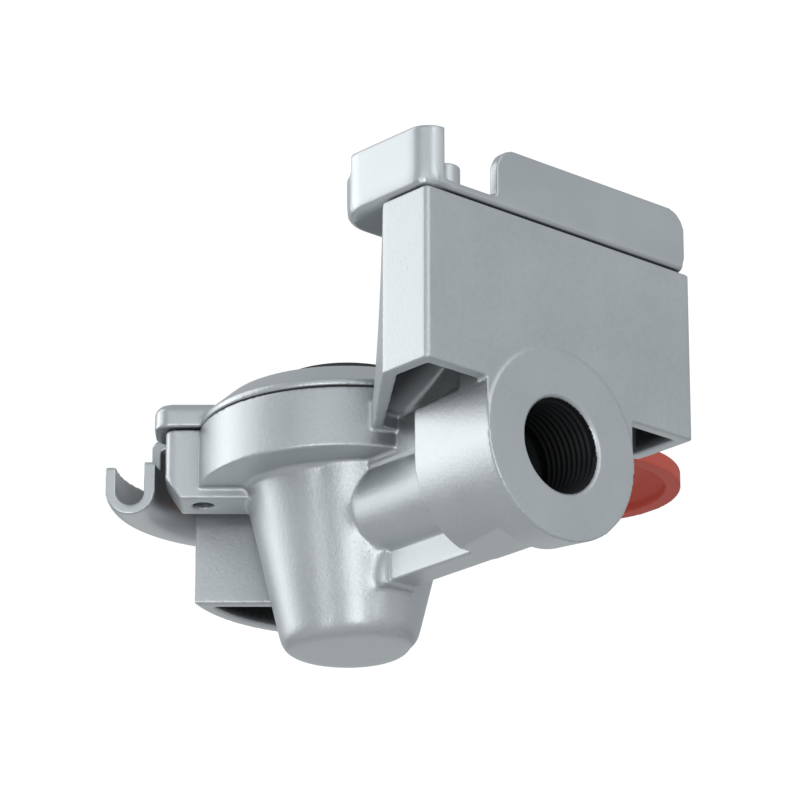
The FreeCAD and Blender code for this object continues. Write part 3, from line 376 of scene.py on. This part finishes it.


# The cast alloy's last colour is painted shade in the tower's shafts, under its roof and in the
# pocket; its corner share is painted shade in tight corners.
CAST_ALLOY = Finish(
    "cast_alloy", Slot.CASTING, Texture.CAST, dark=(0.50, 0.53, 0.545), light=(0.58, 0.61, 0.625),
    metallic=0.8, rough=(0.34, 0.44), depth=0.05 * MM, scale=1400.0, share=0.5,
    painted_shade=(0.085, 0.09, 0.094), corner=0.62)
BORE_SHADE = Finish(
    "bore_shade", Slot.CASTING, Texture.ROLLED, dark=(0.010, 0.011, 0.012),
    light=(0.022, 0.024, 0.026), metallic=0.2, rough=(0.55, 0.68), depth=0.02 * MM, scale=900.0,
    share=0.4, specular=0.2)
# The sheet steel's corner share is painted shade in tight corners.
SHEET_STEEL = Finish(
    "sheet_steel", Slot.PRESSED, Texture.ROLLED, dark=(0.52, 0.55, 0.565),
    light=(0.60, 0.63, 0.645), metallic=0.8, rough=(0.30, 0.40), depth=0.02 * MM, scale=1200.0,
    share=0.4, corner=0.5)
ZINC_STEEL = Finish(
    "zinc_steel", Slot.ZINC, Texture.ROLLED, dark=(0.50, 0.52, 0.53), light=(0.62, 0.64, 0.66),
    metallic=0.9, rough=(0.26, 0.38), depth=0.01 * MM, scale=2000.0, share=0.3)
BLACK_RUBBER = Finish(
    "black_rubber", Slot.RUBBER, Texture.MOULDED, dark=(0.010, 0.010, 0.011),
    light=(0.022, 0.022, 0.023), metallic=0.0, rough=(0.5, 0.66), depth=0.02 * MM, scale=1800.0,
    share=0.4)
BLACK_PLASTIC = Finish(
    "black_plastic", Slot.BLACK, Texture.MOULDED, dark=(0.014, 0.014, 0.015),
    light=(0.03, 0.03, 0.031), metallic=0.0, rough=(0.36, 0.5), depth=0.02 * MM, scale=1500.0,
    share=0.4)
BRASS_MESH = Finish(
    "brass_mesh", Slot.MESH, Texture.ROLLED, dark=(0.34, 0.24, 0.09), light=(0.55, 0.42, 0.18),
    metallic=0.9, rough=(0.3, 0.5), depth=0.08 * MM, scale=2600.0, share=1.0)
# The red plastic's last colour is painted shade on the faces of the cover's rim that look down.
RED_PLASTIC = Finish(
    "red_plastic", Slot.RED, Texture.MOULDED, dark=(0.36, 0.045, 0.03), light=(0.46, 0.07, 0.045),
    metallic=0.0, rough=(0.36, 0.5), depth=0.03 * MM, scale=1500.0, share=0.5,
    painted_shade=(0.17, 0.05, 0.042))


# Modelling helpers

WELD = 0.002 * MM  # Points of a node's mesh that are closer than this are one
ROUND_TURN = 0.12  # Turn of the skin from point to point that still counts as round, in radians


def only(piece: bpy.types.Object) -> None:
    """Selects one object and makes it active."""
    bpy.ops.object.select_all(action="DESELECT")
    piece.select_set(True)
    bpy.context.view_layer.objects.active = piece


def in_edit(piece: bpy.types.Object, work: Callable[[], None]) -> None:
    """Runs some edit-mode work on everything in one piece."""
    only(piece)
    bpy.ops.object.mode_set(mode="EDIT")
    bpy.ops.mesh.select_all(action="SELECT")
    work()
    bpy.ops.object.mode_set(mode="OBJECT")


def apply_modifier(piece: bpy.types.Object, kind: str, **values: object) -> None:
    """Adds a modifier, sets it and applies it."""
    only(piece)
    bpy.ops.object.modifier_add(type=kind)
    modifier = piece.modifiers[-1]
    for key, value in values.items():
        setattr(modifier, key, value)
    bpy.ops.object.modifier_apply(modifier=modifier.name)


def merged_copy(node: bpy.types.Object, name: str) -> bpy.types.Object:
    """Copies a node of the frame as a new piece with its loose triangles joined.

    Args:
        node: Node of the frame, which stays as it is.
        name: Name of the new piece.

    Returns:
        The new piece.
    """
    piece = bpy.data.objects.new(name, node.data.copy())
    bpy.context.scene.collection.objects.link(piece)
    piece.data.materials.clear()
    in_edit(piece, lambda: bpy.ops.mesh.remove_doubles(threshold=WELD))
    return piece


def pick(piece: bpy.types.Object, test: Callable[[Vector], bool], faces: bool = False) -> int:
    """Selects the vertices, or the faces by their middle, that pass a test of their place.

    Args:
        piece: Piece in object mode.
        test: Takes a point of the piece and says whether it is chosen.
        faces: Chooses faces rather than vertices.

    Returns:
        How many were chosen.
    """
    only(piece)
    bpy.ops.object.mode_set(mode="EDIT")
    bpy.ops.mesh.select_mode(type="FACE" if faces else "VERT")
    bpy.ops.mesh.select_all(action="DESELECT")
    bpy.ops.object.mode_set(mode="OBJECT")
    if faces:
        chosen = [item for item in piece.data.polygons if test(item.center)]
    else:
        chosen = [item for item in piece.data.vertices if test(item.co)]
    for item in chosen:
        item.select = True
    return len(chosen)


def relax(piece: bpy.types.Object, test: Callable[[Vector], bool], rounds: int) -> None:
    """Smooths the chosen part of a piece, as a generous fillet would."""
    if pick(piece, test) == 0:
        return
    bpy.ops.object.mode_set(mode="EDIT")
    bpy.ops.mesh.select_mode(type="VERT")
    bpy.ops.mesh.vertices_smooth(factor=0.5, repeat=rounds)
    bpy.ops.object.mode_set(mode="OBJECT")


def paint(piece: bpy.types.Object, finish: Finish, test: Callable[[Vector], bool]) -> None:
    """Gives the faces that pass a test of their place a second finish."""
    material = finish.material()
    piece.data.materials.append(material)
    pick(piece, test, faces=True)
    piece.active_material_index = piece.data.materials.find(material.name)
    bpy.ops.object.mode_set(mode="EDIT")
    bpy.ops.object.material_slot_assign()
    bpy.ops.mesh.select_all(action="DESELECT")
    bpy.ops.object.mode_set(mode="OBJECT")


def calm(piece: bpy.types.Object, rounds: int) -> None:
    """Takes the flats out of round faces and keeps the edges.

    Args:
        piece: Piece with a fine even mesh.
        rounds: How many times the round faces are relaxed.
    """
    mesh = piece.data
    normals = np.empty(len(mesh.vertices) * 3, dtype=np.float32)
    mesh.vertex_normals.foreach_get("vector", normals)
    normals = normals.reshape(-1, 3)
    ends = np.empty(len(mesh.edges) * 2, dtype=np.int32)
    mesh.edges.foreach_get("vertices", ends)
    ends = ends.reshape(-1, 2)
    turns = (normals[ends[:, 0]] * normals[ends[:, 1]]).sum(axis=1)
    is_round = np.ones(len(mesh.vertices), dtype=bool)
    is_round[ends[turns < math.cos(ROUND_TURN)].ravel()] = False
    group = piece.vertex_groups.new(name="round")
    group.add(np.flatnonzero(is_round).tolist(), 1.0, "REPLACE")
    apply_modifier(piece, "SMOOTH", factor=0.5, iterations=rounds, vertex_group="round")
    piece.vertex_groups.clear()


def mark(piece: bpy.types.Object, name: str, weight: Callable[[Vector, Vector], float]) -> None:
    """Writes an attribute of the piece's points from a function of their place and normal."""
    attribute = piece.data.attributes.new(name, "FLOAT", "POINT")
    values = [weight(item.co, item.normal) for item in piece.data.vertices]
    attribute.data.foreach_set("value", values)


def ease(value: float, start: float, end: float) -> float:
    """Rises smoothly from 0 at start to 1 at end."""
    share = min(max((value - start) / (end - start), 0.0), 1.0)
    return share * share * (3 - 2 * share)


def settle(piece: bpy.types.Object, body: Body, slot: Slot, *nodes: str) -> None:
    """Rides a piece on its body and hides, if any, the nodes that it stands for."""
    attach(piece, body.value)
    if nodes:
        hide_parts(*nodes)


ANY: Span = (-math.inf, math.inf)


@dataclass(frozen=True)
class Zone:
    """A box-shaped zone of a piece.

    Attributes:
        x: Lower and upper limit along X, in millimetres.
        y: The same along Y.
        z: The same along Z.
    """

    x: Span = ANY
    y: Span = ANY
    z: Span = ANY

    def holds(self, point: Vector) -> bool:
        """True where a point of the piece lies in the zone."""
        x, y, z = point / MM
        in_plan = self.x[0] < x < self.x[1] and self.y[0] < y < self.y[1]
        return in_plan and self.z[0] < z < self.z[1]


@dataclass(frozen=True)
class Fillet:
    """A part of a piece's skin that is relaxed as a generous fillet would be.

    Attributes:
        test: Says whether a point of the piece belongs to it.
        rounds: How many times the skin is relaxed there.
    """

    test: Callable[[Vector], bool]
    rounds: int


@dataclass(frozen=True)
class Skin:
    """How a cast, pressed or moulded piece gets its small round edges.

    Attributes:
        rounds: How many times the whole skin is relaxed.
        round_rounds: How many times the round faces are relaxed on top.
        keep: Share of the faces that stays.
        fillets: Parts of the skin that are relaxed first.
        voxel: Size of the cells that the skin is rebuilt from, in metres.
    """

    rounds: int
    round_rounds: int
    keep: float
    fillets: tuple[Fillet, ...] = ()
    voxel: float = 0.36 * MM

    def soften(self, piece: bpy.types.Object) -> None:
        """Rebuilds the skin of a closed piece and rounds its edges."""
        apply_modifier(piece, "REMESH", mode="VOXEL", voxel_size=self.voxel, adaptivity=0.0,
                       use_smooth_shade=True)
        for fillet in self.fillets:
            relax(piece, fillet.test, fillet.rounds)
        apply_modifier(piece, "SMOOTH", factor=0.5, iterations=self.rounds)
        calm(piece, self.round_rounds)
        apply_modifier(piece, "DECIMATE", decimate_type="COLLAPSE", ratio=self.keep,
                       use_collapse_triangulate=True)
        only(piece)
        bpy.ops.object.shade_smooth()


# The casting's places. HEAD is the head's axis, and the other numbers are in millimetres.

HEAD = Vector((3.9 * MM, 71.8 * MM, 0.0))
BOWL_FLANK = Zone(y=(54.8, 72.8), z=(-25.0, 4.0))
BOWL_CORE = 11.0  # Least distance of the flank from the head's axis
BOWL_MIDDLE = 9.0  # Least distance of the flank from the head's middle plane
BOWL_FOOT = Zone(z=(-math.inf, -20.5))  # Where the bowl's side turns into its base
SLOPE_EDGE = Zone(x=(-14.5, -7.6), y=(22, 41), z=(15.5, 27))  # Between sloped roof and web
RIB_CORNER = Zone(x=(-9.0, -2.9), y=(51.3, 60), z=(-19.5, -9))  # Where the rib joins the bowl

# Hollows that get painted shade, and the spans over which the painted shade fades in.

SHAFTS = (Zone(x=(-34.8, -20.6), y=(2.8, 13.1), z=(-math.inf, 37.5)),
          Zone(x=(20.6, 36.1), y=(2.8, 14.6), z=(-math.inf, 37.5)))
SHAFT_FADE: Span = (10.9, 12.5)  # Heights
ROOF = Zone(x=(-35.5, 35.5), y=(20.0, 42.6), z=(14.0, 27.0))
ROOF_FADE: Span = (9.0, 16.0)  # Distances from the middle plane
ROOF_FACING = -0.1  # Most that a face of the roof's inside looks up
POCKET_AHEAD = Vector((0.66, 0.75))  # Direction from the head's axis into the pocket
POCKET_SIDE = Vector((0.75, -0.66))  # Direction across the pocket
POCKET_START, POCKET_WALL, POCKET_REACH = 12.6, 9.6, 32.6
POCKET_HEIGHT = Zone(z=(-13.0, 6.6))
POCKET_FADE: Span = (-12.7, -11.0)  # Heights


def at_bowl_flank(point: Vector) -> bool:
    """True on the lower bowl where its round form meets the bulge towards the port."""
    flat = (point.xy - HEAD.xy) / MM
    clear = flat.length > BOWL_CORE and abs(flat.x) > BOWL_MIDDLE
    return clear and BOWL_FLANK.holds(point)


@dataclass
class Casting:
    """The light-alloy casting: boss, pipe, rib, tower, flange, bowl and pocket.

    Attributes:
        node: Node that the piece stands for.
        skin: How its edges get round.
        bore_radius: Radius up to which the threaded port is dark, in metres.
        bore_span: Depths between which it is dark, in metres.
        passage_radius: Radius up to which the passage behind the thread is dark, in metres.
        passage_span: Depths between which it is dark, in metres.
    """

    node: str = "body_casting"
    skin: Skin = Skin(rounds=3, round_rounds=60, keep=0.21, fillets=(
        Fillet(at_bowl_flank, 60), Fillet(BOWL_FOOT.holds, 30),
        Fillet(SLOPE_EDGE.holds, 80), Fillet(RIB_CORNER.holds, 60)))
    bore_radius: float = 10.6 * MM
    bore_span: Span = (0.7 * MM, 18.5 * MM)
    passage_radius: float = 8.5 * MM
    passage_span: Span = (18 * MM, 56 * MM)

    @staticmethod
    def painted_shade(point: Vector, normal: Vector) -> float:
        """Tells how much painted shade a point gets inside the tower's shafts, under its roof and
        in the pocket.

        Args:
            point: Point of the casting.
            normal: Its normal.

        Returns:
            0.0 outside and 1.0 deep inside.
        """
        height = point.z / MM
        if any(shaft.holds(point) for shaft in SHAFTS):
            return ease(height, *SHAFT_FADE)
        if ROOF.holds(point) and normal.z < ROOF_FACING:
            return ease(abs(point.x / MM), *ROOF_FADE)
        flat = (point.xy - HEAD.xy) / MM
        in_pocket = flat.dot(POCKET_AHEAD) > POCKET_START and flat.dot(POCKET_SIDE) < POCKET_WALL
        if in_pocket and flat.length < POCKET_REACH and POCKET_HEIGHT.holds(point):
            return ease(height, *POCKET_FADE)
        return 0.0

    def in_bore(self, point: Vector) -> bool:
        """True inside the threaded port and the passage behind it."""
        radius = Vector((point.x, point.z)).length
        in_thread = radius < self.bore_radius and self.bore_span[0] < point.y < self.bore_span[1]
        start, end = self.passage_span
        return in_thread or (radius < self.passage_radius and start < point.y < end)

    def build(self, nodes: dict[str, bpy.types.Object]) -> None:
        """Builds the soft-edged casting from its node of the frame."""
        piece = merged_copy(nodes[self.node], "casting_skin")
        self.skin.soften(piece)
        CAST_ALLOY.dress(piece)
        paint(piece, BORE_SHADE, self.in_bore)
        # Paints shade into the tower's shafts, under its roof and in the pocket.
        mark(piece, "painted_shade", self.painted_shade)
        settle(piece, Body.HEAD, Slot.CASTING, self.node)


@dataclass
class PortThread:
    """The pipe thread in the port, a ridge wound round the bore.

    Attributes:
        pitch: Rise of one turn, in metres.
        crest: Radius at the crest, in metres.
        root: Radius of the ridge's foot, just inside the wall, in metres.
        foot: Half of the foot's width, as a share of the pitch.
        land: Half of the crest's width, in metres.
        drop: How far the crest's edges lie below its middle, in metres.
        start: Where the thread starts behind the mouth, in metres.
        turns: Number of turns.
        steps: Steps round each turn.
        sharp: Turn from which an edge stays sharp, in degrees.
    """

    pitch: float = 1.5 * MM
    crest: float = 9.75 * MM
    root: float = 10.3 * MM
    foot: float = 0.46
    land: float = 0.07 * MM
    drop: float = 0.05 * MM
    start: float = 1.2 * MM
    turns: float = 9.5
    steps: int = 60
    sharp: float = 50.0

    def build(self, nodes: dict[str, bpy.types.Object]) -> None:
        """Winds the ridge, which needs no node of the frame."""
        half = self.pitch * self.foot
        edge = self.crest + self.drop
        profile = [(self.root, self.start - half, 0.0), (edge, self.start - self.land, 0.0),
                   (self.crest, self.start, 0.0), (edge, self.start + self.land, 0.0),
                   (self.root, self.start + half, 0.0)]
        mesh = bpy.data.meshes.new("port_thread")
        mesh.from_pydata(profile, [(0, 1), (1, 2), (2, 3), (3, 4), (4, 0)], [])
        piece = bpy.data.objects.new("port_thread", mesh)
        bpy.context.scene.collection.objects.link(piece)
        total = int(self.steps * self.turns)
        apply_modifier(piece, "SCREW", axis="Y", angle=2 * math.pi * self.turns,
                       screw_offset=self.pitch * self.turns, steps=total, render_steps=total,
                       use_merge_vertices=False)
        in_edit(piece, lambda: bpy.ops.mesh.fill_holes(sides=0))
        in_edit(piece, lambda: bpy.ops.mesh.normals_make_consistent(inside=False))
        only(piece)
        bpy.ops.object.shade_smooth_by_angle(angle=math.radians(self.sharp))
        BORE_SHADE.dress(piece)
        settle(piece, Body.HEAD, Slot.CASTING)


FIN_BEND = Zone(y=(-math.inf, 1.7), z=(-math.inf, 50.6))  # At the foot of the front fin
LIP_BEND = Zone(x=(-math.inf, -34.2), z=(-math.inf, 51.6))  # At the foot of the left lip


@dataclass
class PressedPlates:
    """The two pressed plates: the claw plate on the tower and the ring with its curled rim.

    Attributes:
        skins: How the edges of each plate get round, by its node's name.
    """

    skins: dict[str, Skin] = field(default_factory=lambda: {
        "claw_plate": Skin(rounds=5, round_rounds=40, keep=0.6, fillets=(
            Fillet(FIN_BEND.holds, 24), Fillet(LIP_BEND.holds, 25))),
        "guide_plate": Skin(rounds=5, round_rounds=40, keep=0.6),
    })

    def build(self, nodes: dict[str, bpy.types.Object]) -> None:
        """Builds both plates from their nodes of the frame."""
        for name, skin in self.skins.items():
            piece = merged_copy(nodes[name], name + "_skin")
            skin.soften(piece)
            SHEET_STEEL.dress(piece)
            settle(piece, Body.HEAD, Slot.PRESSED, name)


@dataclass
class Cover:
    """The red dust cover with its arm and hub.

    Attributes:
        skin: How its edges get round.
        rim_top: Height up to which a face that looks down is the rim's, in metres.
        rim_shade_fade: Share of looking down between which the painted shade on the rim comes in.
    """

    skin: Skin = Skin(rounds=3, round_rounds=40, keep=0.6)
    rim_top: float = 34.4 * MM
    rim_shade_fade: Span = (0.6, 0.95)

    def rim(self, point: Vector, normal: Vector) -> float:
        """Tells how much painted shade a point gets on the rim's lower face, by how far its face
        looks down, from 0.0 to 1.0.
        """
        return ease(-normal.z, *self.rim_shade_fade) if point.z < self.rim_top else 0.0

    def build(self, nodes: dict[str, bpy.types.Object]) -> None:
        """Builds the moulded cover from its node of the frame."""
        piece = merged_copy(nodes["dust_cover"], "cover_skin")
        self.skin.soften(piece)
        # Paints shade on the faces of the rim that look down.
        mark(piece, "painted_shade", self.rim)
        RED_PLASTIC.dress(piece)
        settle(piece, Body.COVER, Slot.RED, "dust_cover")


@dataclass
class Screws:
    """The countersunk screws, each with a hexagon socket in its head.

    Attributes:
        names: Nodes that the screws stand for.
        socket: Width across the socket's corners, in metres.
        depth: Depth of the socket, in metres.
        bevel: Width of the bevel on the edges, in metres.
        bevel_turn: Turn from which an edge gets the bevel, in degrees.
        sharp: Turn from which an edge stays sharp, in degrees.
    """

    names: tuple[str, ...] = ("claw_screw_left", "claw_screw_right",
                              "guide_screw_left", "guide_screw_right")
    socket: float = 4.6 * MM
    depth: float = 2.2 * MM
    bevel: float = 0.15 * MM
    bevel_turn: float = 40.0
    sharp: float = 35.0

    def build(self, nodes: dict[str, bpy.types.Object]) -> None:
        """Builds the screws from their nodes of the frame."""
        for name in self.names:
            low, high = (Vector(corner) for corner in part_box(name))
            middle = (low + high) / 2
            bpy.ops.object.select_all(action="DESELECT")
            bpy.ops.mesh.primitive_cylinder_add(vertices=6, radius=self.socket / 2,
                                                depth=2 * self.depth,
                                                location=(middle.x, middle.y, high.z))
            cutter = bpy.context.object
            piece = merged_copy(nodes[name], name + "_head")
            apply_modifier(piece, "BOOLEAN", object=cutter, operation="DIFFERENCE",
                           solver="EXACT")
            bpy.data.objects.remove(cutter)
            apply_modifier(piece, "BEVEL", width=self.bevel, segments=2, limit_method="ANGLE",
                           angle_limit=math.radians(self.bevel_turn))
            only(piece)
            bpy.ops.object.shade_smooth_by_angle(angle=math.radians(self.sharp))
            ZINC_STEEL.dress(piece)
            settle(piece, Body.HEAD, Slot.ZINC, name)


@dataclass
class SmallParts:
    """Nodes whose shape is right as it is and that only get their finish.

    Attributes:
        finishes: Finish of each node, by its name.
    """

    finishes: dict[str, Finish] = field(default_factory=lambda: {
        "claw_stud": ZINC_STEEL,
        "flange_gasket": BLACK_RUBBER,
        "seal_ring": BLACK_RUBBER,
        "seal_support": BLACK_PLASTIC,
        "filter_collar": BLACK_PLASTIC,
        "filter_sieve": BRASS_MESH,
        "filter_cap": BLACK_PLASTIC,
        "cover_pin": ZINC_STEEL,
        "cover_washer": ZINC_STEEL,
        "cover_clip": ZINC_STEEL,
    })

    def build(self, nodes: dict[str, bpy.types.Object]) -> None:
        """Dresses each node in its finish."""
        for name, finish in self.finishes.items():
            finish.dress(nodes[name])


@dataclass(frozen=True)
class Lamp:
    """A rectangular area lamp that shines at the part.

    Attributes:
        name: Name of the lamp.
        toward: Direction from the part to the lamp.
        size: Width and height of the lamp, in metres.
        power: Power of the lamp, in watts.
        distance: Distance of the lamp, in metres.
        target: Point that it shines at.
    """

    name: str
    toward: Triple
    size: Span
    power: float
    distance: float = 1.2
    target: Triple = (0.01, 0.06, 0.015)

    def hang(self) -> None:
        """Adds the lamp to the scene, with its height upright."""
        direction = Vector(self.toward).normalized()
        data = bpy.data.lights.new(self.name, "AREA")
        data.shape = "RECTANGLE"
        data.size, data.size_y = self.size
        data.energy = self.power
        lamp = bpy.data.objects.new(self.name, data)
        lamp.location = Vector(self.target) + direction * self.distance
        lamp.rotation_mode = "QUATERNION"
        lamp.rotation_quaternion = direction.to_track_quat("Z", "Y")
        bpy.context.scene.collection.objects.link(lamp)


@dataclass
class Studio:
    """Floor, lights and the camera at the photograph's angle.

    Attributes:
        floor_height: Height of the floor, in metres.
        floor_size: Side of the square floor, in metres.
        floor_grey: Grey of the floor's paint.
        floor_rough: Roughness of the floor's paint.
        air_colour: Colour of the light that the part gets from all round.
        air_strength: Strength of that light.
        white_strength: Strength of the white that the camera sees behind the part.
        lens: Focal length, in millimetres.
        sensor: Width of the sensor, in millimetres.
        clip: Least and greatest distance that the camera sees, in metres.
        eye: Place of the camera.
        right: Direction that points right in the picture.
        up: Direction that points up in the picture.
        lamps: Lamps round the part.
    """

    floor_height: float = -0.62
    floor_size: float = 6.0
    floor_grey: float = 0.62
    floor_rough: float = 0.9
    air_colour: Triple = (0.93, 0.97, 1.0)
    air_strength: float = 0.54
    white_strength: float = 1.05
    lens: float = 205.28
    sensor: float = 36.0
    clip: Span = (0.05, 30.0)
    eye: Triple = (-0.6102, -0.6360, -0.3155)
    right: Triple = (0.74729, -0.66450, 0.0)
    up: Triple = (-0.23023, -0.25891, 0.93806)
    lamps: tuple[Lamp, ...] = (
        Lamp("key_lamp", (-0.62, 0.62, 0.48), size=(0.9, 0.9), power=2.6),
        Lamp("back_lamp", (-0.45, 0.88, 0.12), size=(0.6, 1.0), power=1.9),
        Lamp("band_lamp", (-0.66, 0.74, 0.02), size=(0.5, 0.4), power=0.7),
        Lamp("left_lamp", (-0.82, -0.55, 0.12), size=(0.9, 0.9), power=1.1),
        Lamp("side_lamp", (-0.80, -0.45, -0.35), size=(0.6, 0.6), power=3.2),
        Lamp("front_lamp", (-0.10, -0.80, 0.60), size=(0.9, 0.9), power=1.6),
        Lamp("fill_lamp", (0.30, -0.90, -0.10), size=(0.9, 0.9), power=0.5),
        Lamp("strip_lamp", (-0.28, -0.94, 0.03), size=(0.25, 0.9), power=1.4),
        Lamp("rear_lamp", (0.61, 0.70, -0.35), size=(0.7, 0.7), power=0.45),
    )

    def floor(self) -> None:
        """Adds the pale floor, well below the part."""
        bpy.ops.object.select_all(action="DESELECT")
        bpy.ops.mesh.primitive_plane_add(size=self.floor_size,
                                         location=(0.0, 0.0, self.floor_height))
        floor = bpy.context.object
        floor.name = "studio_floor"
        material = bpy.data.materials.new("floor_paint")
        material.use_nodes = True
        shader = material.node_tree.nodes["Principled BSDF"]
        shader.inputs["Base Color"].default_value = (*(self.floor_grey,) * 3, 1.0)
        shader.inputs["Roughness"].default_value = self.floor_rough
        floor.data.materials.append(material)
        floor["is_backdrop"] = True

    def world(self) -> None:
        """Sets a white surround for the camera and a softer grey light for the part."""
        world = bpy.data.worlds.new("studio_air")
        world.use_nodes = True
        tree = world.node_tree
        grey = tree.nodes["Background"]
        grey.inputs["Color"].default_value = (*self.air_colour, 1.0)
        grey.inputs["Strength"].default_value = self.air_strength
        white = add_node(tree, "Background")
        white.inputs["Color"].default_value = (1.0, 1.0, 1.0, 1.0)
        white.inputs["Strength"].default_value = self.white_strength
        path = add_node(tree, "LightPath")
        mix = add_node(tree, "MixShader")
        tree.links.new(path.outputs["Is Camera Ray"], mix.inputs[0])
        tree.links.new(grey.outputs[0], mix.inputs[1])
        tree.links.new(white.outputs[0], mix.inputs[2])
        tree.links.new(mix.outputs[0], tree.nodes["World Output"].inputs[0])
        bpy.context.scene.world = world

    def camera(self) -> None:
        """Adds the camera with the photograph's perspective."""
        data = bpy.data.cameras.new("view")
        data.sensor_width = self.sensor
        data.lens = self.lens
        data.clip_start, data.clip_end = self.clip
        camera = bpy.data.objects.new("view", data)
        right, up = Vector(self.right), Vector(self.up)
        turn = Matrix((right, up, right.cross(up))).transposed().to_4x4()
        camera.matrix_world = Matrix.Translation(Vector(self.eye)) @ turn
        bpy.context.scene.collection.objects.link(camera)
        bpy.context.scene.camera = camera

    def build(self) -> None:
        """Builds the whole studio."""
        self.floor()
        self.world()
        for lamp in self.lamps:
            lamp.hang()
        self.camera()
        bpy.context.scene.view_settings.view_transform = "Standard"


def main() -> None:
    """Builds the part over its frame."""
    logging.basicConfig(level=logging.INFO, format="%(name)s %(message)s")
    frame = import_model()
    nodes = frame["nodes"]
    build_cast_grain()
    build_rolled_grain()
    build_moulded_grain()
    for assembly in (Casting(), PortThread(), PressedPlates(), Cover(), Screws(), SmallParts()):
        assembly.build(nodes)
        LOG.info("built %s", type(assembly).__name__)
    Studio().build()
    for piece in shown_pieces():
        LOG.info("%s has %d faces", piece.name, len(piece.data.polygons))


if __name__ == "__main__":
    main()
